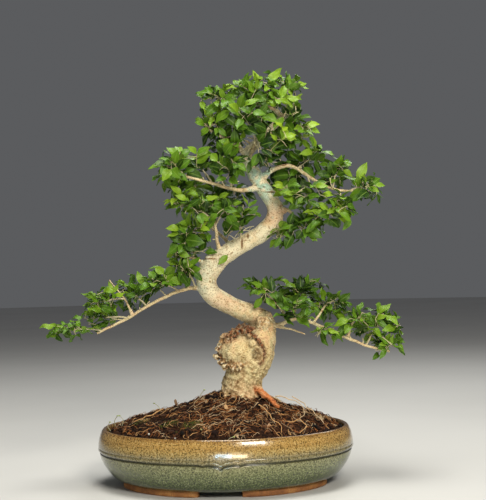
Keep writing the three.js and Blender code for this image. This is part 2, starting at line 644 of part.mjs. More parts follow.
const bonsai = new THREE.Group();
bonsai.name = 'privet_bonsai';
bonsai.add(meshOf('pot', potBody(), COLOURS.glaze, 0.3));
bonsai.add(meshOf('drain_screen_left', screenBody(-1), COLOURS.screen, 0.6));
bonsai.add(meshOf('drain_screen_right', screenBody(1), COLOURS.screen, 0.6));
bonsai.add(meshOf('soil', soilBody(), COLOURS.soil, 1));
bonsai.add(meshOf('trunk', largestBody(woodBody(0)), COLOURS.bark, 0.8));
const paddedWood = woodBody(GAP);
for (const spray of sprays) {
  bonsai.add(meshOf(`spray_${spray.name}`, sprayBody(spray, paddedWood), COLOURS.leaf, 0.45));
}

export default bonsai;
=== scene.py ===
import math

import bpy
import numpy as np
from mathutils import Matrix, Vector, noise


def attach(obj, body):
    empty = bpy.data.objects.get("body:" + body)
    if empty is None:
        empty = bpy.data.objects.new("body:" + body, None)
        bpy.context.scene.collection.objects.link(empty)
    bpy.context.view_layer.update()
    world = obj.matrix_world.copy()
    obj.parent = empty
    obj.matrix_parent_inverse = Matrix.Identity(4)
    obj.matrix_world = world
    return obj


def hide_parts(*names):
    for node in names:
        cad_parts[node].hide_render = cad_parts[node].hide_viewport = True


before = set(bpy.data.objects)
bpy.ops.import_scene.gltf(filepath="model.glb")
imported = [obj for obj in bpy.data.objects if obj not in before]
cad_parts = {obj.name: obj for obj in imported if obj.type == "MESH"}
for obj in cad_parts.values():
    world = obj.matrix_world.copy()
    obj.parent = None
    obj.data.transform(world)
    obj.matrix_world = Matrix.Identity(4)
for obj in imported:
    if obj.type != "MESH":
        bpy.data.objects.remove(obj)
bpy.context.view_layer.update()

# The pot
# An oval stoneware bowl, pressed and fired in one piece: an incurved lip, a bead and a groove under
# it with a small bracket at the front, a rounded body and four low feet of bare clay. Its ash glaze
# runs from ochre at the lip to dark green at the foot. Sizes of pieces are in millimetres.
mm = 0.001
pot_length, pot_depth, pot_height = 300, 232, 66
pot_turn = math.radians(-2.5)
base_height, floor_height = 6, 13
wall_outside = [
    (0, 6), (60, 6), (112, 6), (121, 6.2), (127, 8), (134, 12.6), (142, 23), (146.6, 32), (148.1, 37),
]
groove = [(148.1, 37), (147.9, 38.2), (147.0, 38.9), (146.9, 39.6), (147.9, 40.1)]
bead = [(147.9, 40.1), (149.4, 40.9), (150, 42.4), (149.7, 44.0), (149.4, 44.7)]
band = [(149.4, 44.7), (149.75, 45.4), (149.5, 48.5), (148.7, 53.5), (147.3, 58.5), (145.2, 63.4)]
lip = [(145.2, 63.4), (143.8, 65.2), (142.0, 66), (140.4, 65.5), (139.6, 64)]
wall_inside = [(139.6, 64), (138.8, 55), (138.4, 46), (133, 28), (121, 15.5), (112, 13), (60, 13), (0, 13)]
pot_columns, profile_steps = 420, 5
bracket_depth, bracket_width, bracket_place = 3.6, 2.8, 3
shoulder_depth, shoulder_width = 1.5, 12
side_dip, side_dip_place, side_dip_width = 1.3, 20, 3.2
bracket_reach = [(16, 0), (38, 1), (41, 1), (54, 0)]
bracket_radius = 141
foot_inner, foot_outer = 108, 124
foot_from, foot_to = math.radians(12), math.radians(78)
foot_steps, foot_corners, foot_squareness = 30, 10, 0.35
foot_tip_width, foot_taper, foot_sunk_in, foot_crease = 0.45, 7, 1.2, math.radians(50)
drain_radius, drain_place, drain_sides, drill_length = 9, 56, 48, 30
glaze_colours = [
    (0.08, (0.030, 0.050, 0.013)), (0.24, (0.068, 0.094, 0.028)), (0.40, (0.138, 0.162, 0.050)),
    (0.55, (0.25, 0.25, 0.105)), (0.63, (0.21, 0.18, 0.082)), (0.71, (0.31, 0.235, 0.095)),
    (0.80, (0.50, 0.33, 0.105)), (0.92, (0.56, 0.345, 0.10)), (1.0, (0.34, 0.18, 0.045)),
]
deep_tint, pale_tint, rim_tint = (0.13, 0.13, 0.09), (0.66, 0.66, 0.42), (0.62, 0.5, 0.36)
# Colours of the painted shade in the groove and in the crease above the bead.
groove_shade_colour, crease_shade_colour = (0.030, 0.030, 0.014), (0.10, 0.085, 0.045)
clay_colours = [(0.3, (0.18, 0.065, 0.02)), (0.55, (0.36, 0.15, 0.04)), (0.75, (0.5, 0.26, 0.09))]
grog_colour = (0.13, 0.055, 0.02)


def smooth_line(rows, steps):
    rows = [np.array(row, float) for row in rows]
    rows = [2 * rows[0] - rows[1], *rows, 2 * rows[-1] - rows[-2]]
    line = []
    for before, first, second, after in zip(rows, rows[1:], rows[2:], rows[3:]):
        for step in range(steps):
            t = step / steps
            pull, push = (second - before) / 2, (after - first) / 2
            line.append(
                first + pull * t
                + (3 * (second - first) - 2 * pull - push) * t * t
                + (2 * (first - second) + pull + push) * t ** 3
            )
    return np.array([*line, rows[-2]])


def rows_of_faces(rows, columns, start=0):
    faces = []
    for row in range(rows - 1):
        for column in range(columns):
            here = start + row * columns
            following = (column + 1) % columns
            above = here + columns
            faces.append((here + column, here + following, above + following, above + column))
    return faces


def closed_rows(rows, columns):
    faces = rows_of_faces(rows, columns)
    last_row, first_end = (rows - 1) * columns, rows * columns
    for column in range(columns):
        following = (column + 1) % columns
        faces.append((following, column, first_end))
        faces.append((last_row + column, last_row + following, first_end + 1))
    return faces


def make_mesh(name, points, faces, finishes, values=None, colours=None, sharp=None):
    mesh = bpy.data.meshes.new(name)
    mesh.from_pydata((np.asarray(points) * mm).tolist(), [], faces)
    for label, numbers in (values or {}).items():
        attribute = mesh.attributes.new(label, "FLOAT", "POINT")
        attribute.data.foreach_set("value", np.asarray(numbers, np.float32))
    if colours is not None:
        paint = np.ones((len(colours), 4), np.float32)
        paint[:, :3] = colours
        mesh.attributes.new("paint", "FLOAT_COLOR", "POINT").data.foreach_set("color", paint.ravel())
    for finish in finishes:
        mesh.materials.append(finish)
    mesh.shade_smooth()
    if sharp is not None:
        mesh.set_sharp_from_angle(angle=sharp)
    piece = bpy.data.objects.new(name, mesh)
    bpy.context.scene.collection.objects.link(piece)
    return piece


def apply_modifiers(piece):
    bpy.context.view_layer.update()
    shaped = bpy.data.meshes.new_from_object(piece.evaluated_get(bpy.context.evaluated_depsgraph_get()))
    piece.modifiers.clear()
    piece.data = shaped


class Finish:
    """A material: grains, ramps and mixes of colour that end on one shader."""

    def __init__(self, name, roughness, **constants):
        self.material = bpy.data.materials.new(name)
        self.material.use_nodes = True
        self.tree = self.material.node_tree
        self.shader = self.tree.nodes["Principled BSDF"]
        self.shader.inputs["Roughness"].default_value = roughness
        for socket, value in constants.items():
            self.shader.inputs[socket.replace("_", " ")].default_value = value
        self.where = self.node("TexCoord").outputs["Object"]

    def set(self, socket, value):
        if isinstance(value, bpy.types.NodeSocket):
            self.tree.links.new(value, socket)
        else:
            socket.default_value = value

    def node(self, kind, sockets=None, **settings):
        node = self.tree.nodes.new("ShaderNode" + kind)
        for setting, value in settings.items():
            setattr(node, setting, value)
        for socket, value in (sockets or {}).items():
            self.set(node.inputs[socket], value)
        return node

    def mark(self, name, output="Fac"):
        return self.node("Attribute", attribute_name=name).outputs[output]

    def mix(self, share, first, second, way="MIX"):
        node = self.node("Mix", {"Factor": share}, data_type="RGBA", blend_type=way, clamp_factor=True)
        for socket, colour in ((node.inputs[6], first), (node.inputs[7], second)):
            self.set(socket, (*colour, 1) if isinstance(colour, tuple) else colour)
        return node.outputs[2]

    def sum(self, first, factor, second):
        return self.node("Math", {0: first, 1: factor, 2: second}, operation="MULTIPLY_ADD").outputs[0]

    def ramp(self, value, stops):
        node = self.node("ValToRGB", {"Fac": value})
        stripes = node.color_ramp.elements
        stripes[0].position, stripes[1].position = stops[0][0], stops[-1][0]
        for place, _ in stops[1:-1]:
            stripes.new(place)
        for stripe, (place, colour) in zip(stripes, stops):
            stripe.color = (*colour, 1) if isinstance(colour, tuple) else (colour, colour, colour, 1)
        return node.outputs["Color"]

    def grain(self, size, detail=3, roughness=0.55, stretch=None, where=None):
        where = where or self.where
        if stretch:
            where = self.node("Mapping", {"Vector": where, "Scale": stretch}).outputs[0]
        sockets = {"Vector": where, "Scale": 1 / (size * mm), "Detail": detail, "Roughness": roughness}
        return self.node("TexNoise", sockets).outputs["Fac"]

    def wear(self, colour, height, depth, strength, roughness=None):
        self.set(self.shader.inputs["Base Color"], colour)
        if roughness:
            self.set(self.shader.inputs["Roughness"], roughness)
        relief = self.node("Bump", {"Height": height, "Distance": depth * mm, "Strength": strength})
        self.set(self.shader.inputs["Normal"], relief.outputs[0])


def turned(points, turn):
    points = np.array(points, float)
    x = points[:, 0] * math.cos(turn) - points[:, 1] * math.sin(turn)
    points[:, 1] = points[:, 0] * math.sin(turn) + points[:, 1] * math.cos(turn)
    points[:, 0] = x
    return points


def bracket_drop(along, height):
    along = along - bracket_place
    dip = bracket_depth * np.exp(-((np.abs(along) / bracket_width) ** 1.3))
    dip += shoulder_depth * np.exp(-((along / shoulder_width) ** 2))
    for side in (-1, 1):
        dip += side_dip * np.exp(-(((along - side * side_dip_place) / side_dip_width) ** 2))
    reach = np.interp(height, *zip(*bracket_reach))
    return dip * reach * reach * (3 - 2 * reach)


profile_parts = (wall_outside, groove, bead, band, lip, wall_inside)
profile = np.vstack([smooth_line(part, profile_steps)[:-1] for part in profile_parts])[1:]
angles = 2 * np.pi * np.arange(pot_columns) / pot_columns
pot_points = np.zeros((len(profile), pot_columns, 3))
pot_points[:, :, 0] = profile[:, :1] * np.cos(angles)
pot_points[:, :, 1] = profile[:, :1] * np.sin(angles) * pot_depth / pot_length
pot_points[:, :, 2] = profile[:, 1:]
glaze_height = np.append(pot_points[:, :, 2].ravel(), [base_height, floor_height])
on_front = (pot_points[:, :, 1] < 0) & (profile[:, :1] > bracket_radius)
pot_points[:, :, 2] -= np.where(on_front, bracket_drop(pot_points[:, :, 0], pot_points[:, :, 2]), 0)
pot_points = np.vstack([pot_points.reshape(-1, 3), [[0, 0, base_height], [0, 0, floor_height]]])
pot_points = turned(pot_points, pot_turn)
pot_faces = closed_rows(len(profile), pot_columns)

glaze = Finish("ash_glaze", 0.15, Coat_Weight=0.6, Coat_Roughness=0.04, IOR=1.5)
height = glaze.mark("glaze_height")
streaks = glaze.grain(3.2, 4, 0.65, stretch=(1, 1, 0.12))
specks = glaze.grain(1.7, 3, 0.75)
dots = glaze.grain(0.9, 1, 0.6)
level = glaze.sum(streaks, 0.17, glaze.sum(height, 1 / pot_height, -0.11))
body_colour = glaze.ramp(glaze.sum(glaze.grain(34, 4), 0.07, level), glaze_colours)
deep = glaze.mix(1.0, body_colour, deep_tint, "MULTIPLY")
colour = glaze.mix(glaze.ramp(specks, [(0.38, 0.95), (0.49, 0.0)]), body_colour, deep)
colour = glaze.mix(glaze.ramp(dots, [(0.36, 0.85), (0.46, 0.0)]), colour, deep)
pale = glaze.mix(0.4, body_colour, pale_tint)
colour = glaze.mix(glaze.ramp(specks, [(0.54, 0.0), (0.66, 0.75)]), colour, pale)
rim_level = glaze.sum(streaks, 0.16, glaze.sum(height, 1 / pot_height, -0.08))
rim_share = glaze.ramp(rim_level, [(0.78, 0.0), (0.86, 0.55), (0.93, 0.1), (1.0, 0.5)])
colour = glaze.mix(rim_share, colour, glaze.mix(1.0, colour, rim_tint, "MULTIPLY"))
# Painted shade: a near-black line in the groove and a fainter dark line in the crease above the bead.
level = glaze.sum(height, 1 / pot_height, 0.0)
groove_shade_share = glaze.ramp(level, [(0.566, 0.0), (0.583, 0.85), (0.603, 0.85), (0.617, 0.0)])
colour = glaze.mix(groove_shade_share, colour, groove_shade_colour)
crease_shade_share = glaze.ramp(level, [(0.662, 0.0), (0.675, 0.5), (0.69, 0.0)])
colour = glaze.mix(crease_shade_share, colour, crease_shade_colour)
gloss = glaze.ramp(specks, [(0.3, 0.24), (0.7, 0.11)])
glaze.wear(colour, glaze.sum(specks, 0.5, glaze.grain(9, 3)), 0.35, 0.5, gloss)

pot = make_mesh("pot_bowl", pot_points, pot_faces, [glaze.material], {"glaze_height": glaze_height})
drain_turns = 2 * np.pi * np.arange(drain_sides) / drain_sides
for side in (-1, 1):
    ring = [(drain_radius * math.cos(turn), drain_radius * math.sin(turn)) for turn in drain_turns]
    drill_points = [(side * drain_place + x, y, z) for z in (0, drill_length) for x, y in ring]
    drill_ends = [tuple(reversed(range(drain_sides))), tuple(range(drain_sides, 2 * drain_sides))]
    drill = make_mesh("drain_drill", drill_points, drill_ends + rows_of_faces(2, drain_sides), [])
    cut = pot.modifiers.new("drain", "BOOLEAN")
    cut.operation, cut.solver, cut.object = "DIFFERENCE", "EXACT", drill
    apply_modifiers(pot)
    bpy.data.objects.remove(drill)
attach(pot, "root")
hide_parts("pot")

clay = Finish("bare_clay", 0.85)
grog = clay.grain(1.2, 4, 0.65)
colour = clay.ramp(clay.grain(12, 3), clay_colours)
colour = clay.mix(clay.ramp(grog, [(0.35, 0.7), (0.5, 0.0)]), colour, grog_colour)
clay.wear(colour, grog, 0.4, 0.8)
foot_points, foot_faces = [], []
foot_middle, foot_half = (foot_inner + foot_outer) / 2, (foot_outer - foot_inner) / 2
for quarter in range(4):
    mirrored = quarter % 2 == 1
    first = quarter * np.pi / 2 + (np.pi / 2 - foot_to if mirrored else foot_from)
    start = len(foot_points)
    for step in range(foot_steps + 1):
        share = step / foot_steps
        angle = first + (foot_to - foot_from) * share
        inward = min(1, foot_taper * min(share, 1 - share)) ** 0.5
        half = foot_half * (foot_tip_width + (1 - foot_tip_width) * inward)
        for corner in range(foot_corners):
            turn = 2 * np.pi * (corner + 0.5) / foot_corners
            across = math.copysign(abs(math.cos(turn)) ** foot_squareness, math.cos(turn)) * half
            up = math.copysign(abs(math.sin(turn)) ** foot_squareness, math.sin(turn))
            radius = foot_middle + across
            spot = (radius * math.cos(angle), radius * math.sin(angle) * pot_depth / pot_length)
            foot_points.append((*spot, (base_height + foot_sunk_in) / 2 * (1 + up)))
    end = start + foot_steps * foot_corners
    foot_faces += rows_of_faces(foot_steps + 1, foot_corners, start)
    foot_faces.append(tuple(range(start + foot_corners - 1, start - 1, -1)))
    foot_faces.append(tuple(range(end, end + foot_corners)))
foot_points = turned(foot_points, pot_turn)
feet = make_mesh("pot_feet", foot_points, foot_faces, [clay.material], sharp=foot_crease)
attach(feet, "root")
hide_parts("pot")

# The drain screens
# Two squares of moulded plastic mesh, cut with scissors and laid over the holes in the pot's floor
# before the compost goes in. They are the frame's own pieces and only take a finish.
plastic_colours = [(0.3, (0.012, 0.02, 0.012)), (0.6, (0.025, 0.04, 0.022)), (0.8, (0.08, 0.09, 0.06))]
plastic = Finish("green_plastic", 0.5)
scuffs = plastic.grain(3, 4, 0.7)
gloss = plastic.ramp(scuffs, [(0.3, 0.35), (0.7, 0.65)])
plastic.wear(plastic.ramp(scuffs, plastic_colours), scuffs, 0.1, 0.5, gloss)
for side in ("left", "right"):
    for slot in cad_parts[f"drain_screen_{side}"].material_slots:
        slot.material = plastic.material

# The soil
# Bark compost, pressed by hand into a mound towards the trunk. Fine crumbs and bits of bark lie on
# it under a mat of curly rootlets, with a little moss at the front and a few seedlings.
mound_profile = [(0, 106), (22, 103), (42, 96), (64, 87.5), (88, 80.5), (110, 75), (126, 69), (137.6, 61)]
mound_radius, held_radius, lean_radius = 137.6, 138, 139
mound_lean, mound_edge = 14, 8
mound_rings, mound_columns, ring_crowding = 150, 330, 0.9
mound_relief = [(2.4, 17, 0.0), (2.0, 6.5, 4.1), (1.5, 2.8, 9.7)]
soil_wall = [(138.0, 46), (132.6, 28), (120.6, 16), (111.6, 13.4)]
soil_bottom = 13.4
compost_colours = [
    (0.38, (0.002, 0.001, 0.0008)), (0.52, (0.015, 0.006, 0.003)), (0.66, (0.06, 0.025, 0.012)),
]
dust_colour, moss_colour = (0.10, 0.042, 0.019), (0.05, 0.05, 0.013)
moss_place, moss_fade = (0.052, 0.078, 0.0), -16.0
crumb_sizes = [(0.8, 1.6, 1500), (1.6, 3.0, 520), (3.0, 5.2, 70)]
crumb_colours = [(0.004, 0.002, 0.001), (0.014, 0.005, 0.003), (0.05, 0.02, 0.009), (0.15, 0.066, 0.03)]
pale_grits = [
    (-82, -78, 69, 1.3, (0.75, 0.7, 0.6)), (-52, -92, 66, 1.1, (0.7, 0.66, 0.6)),
    (13, -70, 79, 1.1, (0.8, 0.78, 0.7)), (-28, -12, 101, 1.2, (0.6, 0.55, 0.45)),
    (-23, -84, 73, 2.2, (0.42, 0.5, 0.2)),
]
bark_flakes = [
    ((52, -76, 73), (13, 5), 0.5, (0.5, 0.3, 0.17)), ((3, -45, 93), (9, 5), 0.2, (0.55, 0.33, 0.16)),
    ((112, -30, 76), (11, 4), 0.2, (0.42, 0.3, 0.17)), ((-60, 30, 90), (10, 4), 0.4, (0.3, 0.18, 0.1)),
]
flake_turn, flake_tip, flake_thickness, crumb_crease = 1.9, 0.5, 2.0, math.radians(35)
rootlet_colours = [
    (0.05, 0.018, 0.008), (0.10, 0.034, 0.013), (0.17, 0.058, 0.02), (0.30, 0.105, 0.032),
    (0.50, 0.19, 0.055), (0.64, 0.36, 0.15), (0.76, 0.56, 0.34),
]
rootlet_count, rootlet_steps = 1500, 9
crumb_limit, rootlet_spread, rootlet_limit, moss_limit = 136, 132, 134, 133
long_threads = [
    [(78, -18, 99), (88, -22, 95), (98, -34, 88), (107, -46, 80), (112, -58, 74)],
    [(60, -26, 102), (74, -30, 100), (86, -30, 93), (92, -40, 87), (88, -54, 81)],
    [(72, -64, 78), (86, -72, 80), (92, -82, 74), (84, -92, 69)],
    [(38, -44, 95), (50, -56, 90), (54, -72, 84), (66, -82, 76), (64, -92, 70)],
    [(-70, -28, 90), (-84, -40, 85), (-98, -44, 80), (-108, -36, 77)],
]
moss_patches = [(-34, -96, 16, 260), (-62, -84, 12, 150), (-96, -50, 12, 90), (20, 90, 16, 160)]
moss_colours = [(0.06, 0.07, 0.014), (0.11, 0.12, 0.02), (0.045, 0.055, 0.012)]
seedlings = [
    [(-127, -16, 69), (-128, -18, 76), (-124, -20, 82)], [(-119, -24, 70), (-117, -24, 77), (-121, -26, 83)],
    [(-131, -30, 66), (-134, -32, 72), (-131, -34, 77)], [(-76, 8, 82), (-79, 9, 88), (-84, 9, 92)],
    [(-30, -8, 98), (-27, -10, 104), (-23, -12, 109)], [(6, -104, 63), (8, -107, 67), (13, -109, 69)],
]
seedling_stem, seedling_leaf = (0.5, 0.47, 0.3), (0.38, 0.45, 0.16)


def draw_from(seed):
    state = seed & 0xFFFFFFFF

    def draw():
        nonlocal state
        state = (state + 0x6D2B79F5) & 0xFFFFFFFF
        mixed = ((state ^ (state >> 15)) * (state | 1)) & 0xFFFFFFFF
        turn = ((mixed ^ (mixed >> 7)) * (mixed | 61)) & 0xFFFFFFFF
        mixed ^= (mixed + turn) & 0xFFFFFFFF
        return ((mixed ^ (mixed >> 14)) & 0xFFFFFFFF) / 4294967296

    return draw


def rough(points, size, shift=0.0):
    spots = [Vector((x / size + shift, y / size - shift, z / size)) for x, y, z in points]
    return np.array([noise.noise(spot) for spot in spots])


def mound_spots(a, b):
    a, b = np.atleast_1d(a).astype(float), np.atleast_1d(b).astype(float)
    spots = turned(np.stack([a, b * pot_depth / pot_length, np.zeros(len(a))], axis=1), pot_turn)
    radius = np.hypot(a, b)
    across = np.minimum(1, radius / lean_radius)
    spots[:, 0] += mound_lean * (1 - across) * np.minimum(1, across * 4)
    spots[:, 2] = np.interp(radius, *zip(*mound_profile))
    flat = spots * (1, 1, 0)
    held = np.clip((held_radius - radius) / mound_edge, 0, 1)
    spots[:, 2] += held * sum(depth * rough(flat, size, shift) for depth, size, shift in mound_relief)
    return spots


ring_radii = mound_radius * (np.arange(1, mound_rings + 1) / mound_rings) ** ring_crowding
column_angles = 2 * np.pi * np.arange(mound_columns) / mound_columns
a = np.outer(ring_radii, np.cos(column_angles)).ravel()
b = np.outer(ring_radii, np.sin(column_angles)).ravel()
soil_points = [mound_spots(a, b)]
for radius, z in soil_wall:
    ring = np.stack([
        radius * np.cos(column_angles),
        radius * np.sin(column_angles) * pot_depth / pot_length,
        np.full(mound_columns, float(z)),
    ], axis=1)
    soil_points.append(turned(ring, pot_turn))
soil_points = np.vstack([*soil_points, mound_spots(0, 0), (0, 0, soil_bottom)])
soil_faces = [tuple(reversed(face)) for face in closed_rows(mound_rings + len(soil_wall), mound_columns)]

compost = Finish("compost", 0.95, Specular_IOR_Level=0.12)
lumps = compost.grain(5, 5, 0.65)
dust = compost.grain(1.3, 3, 0.7)
colour = compost.ramp(lumps, compost_colours)
colour = compost.mix(compost.ramp(dust, [(0.52, 0.0), (0.68, 0.75)]), colour, dust_colour)
from_moss = compost.node("Mapping", {"Vector": compost.where, "Location": moss_place}).outputs[0]
moss_reach = compost.node("VectorMath", {0: from_moss}, operation="LENGTH").outputs["Value"]
moss_share = compost.sum(moss_reach, moss_fade, compost.sum(compost.grain(14, 4), 1.6, -0.35))
colour = compost.mix(compost.ramp(moss_share, [(0.0, 0.0), (0.35, 0.75)]), colour, moss_colour)
compost.wear(colour, compost.sum(dust, 0.4, lumps), 1.2, 0.9)
soil = make_mesh("soil_mound", soil_points, soil_faces, [compost.material])
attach(soil, "root")
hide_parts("soil")

golden = (1 + 5 ** 0.5) / 2
ball_corners = np.array([
    (-1, golden, 0), (1, golden, 0), (-1, -golden, 0), (1, -golden, 0), (0, -1, golden), (0, 1, golden),
    (0, -1, -golden), (0, 1, -golden), (golden, 0, -1), (golden, 0, 1), (-golden, 0, -1), (-golden, 0, 1),
]) / math.hypot(1, golden)
ball_faces = [
    (0, 11, 5), (0, 5, 1), (0, 1, 7), (0, 7, 10), (0, 10, 11), (1, 5, 9),
    (5, 11, 4), (11, 10, 2), (10, 7, 6),
    (7, 1, 8), (3, 9, 4), (3, 4, 2), (3, 2, 6), (3, 6, 8), (3, 8, 9), (4, 9, 5), (2, 4, 11), (6, 2, 10),
    (8, 6, 7), (9, 8, 1),
]


class Heap:
    """Closed pieces gathered into one mesh, each with a shade or colour of its own."""

    def __init__(self):
        self.points, self.faces, self.paint, self.count = [], [], [], 0

    def add(self, points, faces, paint):
        self.faces += [tuple(corner + self.count for corner in face) for face in faces]
        self.points.append(np.asarray(points, float))
        self.paint.append(np.broadcast_to(np.asarray(paint, float), (len(points), 3)))
        self.count += len(points)

    def mesh(self, name, finish=None, **more):
        points, paint = np.vstack(self.points), np.vstack(self.paint)
        finishes = [finish.material] if finish else []
        return make_mesh(name, points, self.faces, finishes, colours=paint, **more)


def painted_finish(name, roughness, grain_size, grain_depth, darker=0.5):
    finish = Finish(name, roughness, Specular_IOR_Level=0.2)
    grain = finish.grain(grain_size, 4, 0.65)
    shade = finish.ramp(grain, [(0.3, darker), (0.6, 1.0)])
    colour = finish.mix(1.0, finish.mark("paint", "Color"), shade, "MULTIPLY")
    finish.wear(colour, grain, grain_depth, 0.8)
    return finish


draw = draw_from(311)
crumbs = Heap()
for smallest, largest, count in crumb_sizes:
    for _ in range(count):
        radius, angle = crumb_limit * math.sqrt(draw()), 2 * math.pi * draw()
        spot = mound_spots(radius * math.cos(angle), radius * math.sin(angle))[0]
        size = smallest + (largest - smallest) * draw()
        stretch = np.array([1, 0.5 + 0.5 * draw(), 0.35 + 0.5 * draw()]) * size
        spin = Matrix.Rotation(6.3 * draw(), 3, "Z") @ Matrix.Rotation(1.6 * (draw() - 0.5), 3, "X")
        corners = ball_corners * (1 + 0.35 * np.array([draw() - 0.5 for _ in ball_corners]))[:, None]
        corners = (corners * stretch) @ np.array(spin).T + spot + (0, 0, size * 0.1)
        crumbs.add(corners, ball_faces, crumb_colours[int(4 * draw() ** 1.5)])
for x, y, z, size, paint in pale_grits:
    crumbs.add(ball_corners * size + (x, y, z), ball_faces, paint)
for place, (length, width), tip, paint in bark_flakes:
    spin = Matrix.Rotation(flake_turn, 3, "Z") @ Matrix.Rotation(-tip - flake_tip, 3, "Y")
    corners = (ball_corners * (length / 2, width / 2, flake_thickness / 2)) @ np.array(spin).T
    crumbs.add(corners + place, ball_faces, paint)
crumb_finish = painted_finish("bark_crumbs", 0.9, 0.9, 0.4)
crumb_piece = crumbs.mesh("soil_crumbs", crumb_finish, sharp=crumb_crease)
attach(crumb_piece, "root")
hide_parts("soil")


def strand(line, radii, sides):
    line = np.asarray(line, float)
    radii = np.broadcast_to(np.asarray(radii, float), len(line))
    ahead = np.gradient(line, axis=0)
    ahead /= np.linalg.norm(ahead, axis=1)[:, None] + 1e-9
    across = np.array([0.31, 0.95, 0.07])
    turns = 2 * np.pi * np.arange(sides) / sides
    points = np.empty((len(line), sides, 3))
    for row in range(len(line)):
        across = across - ahead[row] * across.dot(ahead[row])
        across /= np.linalg.norm(across)
        other = np.cross(ahead[row], across)
        ring = np.outer(np.cos(turns), across) + np.outer(np.sin(turns), other)
        points[row] = line[row] + radii[row] * ring
    last = (len(line) - 1) * sides
    faces = rows_of_faces(len(line), sides)
    faces += [tuple(range(sides - 1, -1, -1)), tuple(range(last, last + sides))]
    return points.reshape(-1, 3), faces


draw = draw_from(733)
rootlets = Heap()
for number in range(rootlet_count):
    radius, angle = rootlet_spread * draw() ** 0.62, 2 * math.pi * draw()
    if draw() < 0.35:
        angle = -0.3 * math.pi + (draw() - 0.5) * 2.4
    a, b = radius * math.cos(angle), radius * math.sin(angle)
    heading, bend = 2 * math.pi * draw(), (draw() - 0.5) * 0.9
    pace = 1.2 + 2.2 * draw() ** 2
    route = []
    for _ in range(rootlet_steps):
        route.append((a, b))
        heading += bend + (draw() - 0.5) * 1.1
        a, b = a + pace * math.cos(heading), b + pace * math.sin(heading)
        if math.hypot(a, b) > rootlet_limit:
            a, b = a * 0.95, b * 0.95
    spots = mound_spots(*np.array(route).T)
    arch = 0.5 + 3.2 * draw() ** 2
    spots[:, 2] += arch * np.sin(np.linspace(0.1, 3.0, rootlet_steps)) + 0.3
    thickness = (0.22 + 0.28 * draw() ** 2) * np.linspace(1, 0.6, rootlet_steps)
    rootlets.add(*strand(spots, thickness, 3), rootlet_colours[int(7 * draw() ** 0.95)])
for number, rows in enumerate(long_threads):
    line = smooth_line(rows, 8)
    sway = [rough(line, 9, 3 + number), rough(line, 9, 7 + number), 0.6 * rough(line, 7, number)]
    line += 3 * np.stack(sway, axis=1)
    paint = rootlet_colours[6 if number < 2 else 5]
    rootlets.add(*strand(line, np.linspace(0.7, 0.35, len(line)), 5), paint)
rootlet_piece = rootlets.mesh("soil_rootlets", painted_finish("rootlets", 0.7, 1.6, 0.2, darker=0.6))
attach(rootlet_piece, "root")
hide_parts("soil")

draw = draw_from(97)
moss = Heap()
for middle_a, middle_b, spread, count in moss_patches:
    for _ in range(count):
        a = middle_a + spread * (draw() + draw() - 1)
        b = middle_b + spread * (draw() + draw() - 1)
        if math.hypot(a, b) > moss_limit:
            continue
        spot = mound_spots(a, b)[0]
        tip = spot + ((draw() - 0.5) * 1.6, (draw() - 0.5) * 1.6, 1.2 + 1.6 * draw())
        moss.add(*strand([spot - (0, 0, 0.4), tip], [0.45, 0.12], 3), moss_colours[int(3 * draw())])
for rows in seedlings:
    line = smooth_line(rows, 4)
    moss.add(*strand(line, np.linspace(0.5, 0.3, len(line)), 4), seedling_stem)
    moss.add(ball_corners * (1.5, 1.1, 0.8) + line[-1], ball_faces, seedling_leaf)
moss_piece = moss.mesh("soil_moss", painted_finish("moss_and_seedlings", 0.8, 0.8, 0.2, darker=0.7))
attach(moss_piece, "root")
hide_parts("soil")

# The trunk and its branches
# One grown piece of privet wood: a thick leaning base with a burl and its ragged rim, a leader that
# winds up in three bends, cut stubs and slim branches. The bark is thin, cream and finely pitted.
lower_trunk = [
    [19, 0, 58, 23], [19, 0, 80, 27], [20, 0, 98, 25], [20.5, 0, 112, 23.4], [24.5, -1, 126, 22.6],
    [32, -2, 142, 24.4], [38, 0, 157, 24], [45, 2, 172, 18.4], [47, 3, 186, 15], [48, 3, 197, 10],
]
leader = [
    [53, 3, 187, 11.5], [41, 3, 192, 12.6], [24, 3, 200, 11.3], [6, 0, 208, 11.1], [-11, -3, 220, 11.5],
    [-18, -5, 234, 12], [-14, -5, 249, 12.8], [-2, -3, 262, 11.8], [15, 0, 273, 10.6], [34, 3, 283, 9.8],
    [52, 5, 294, 10.2], [63, 6, 306, 10.6], [65, 5, 320, 10], [59, 4, 333, 9], [51, 2, 345, 8.8],
    [43, 0, 358, 8.6], [36, 0, 371, 7.2], [33, 2, 383, 5.9], [37, 4, 392, 5.4], [47, 5, 400, 5],
    [61, 4, 413, 4.6], [78, 2, 429, 4.3],
]
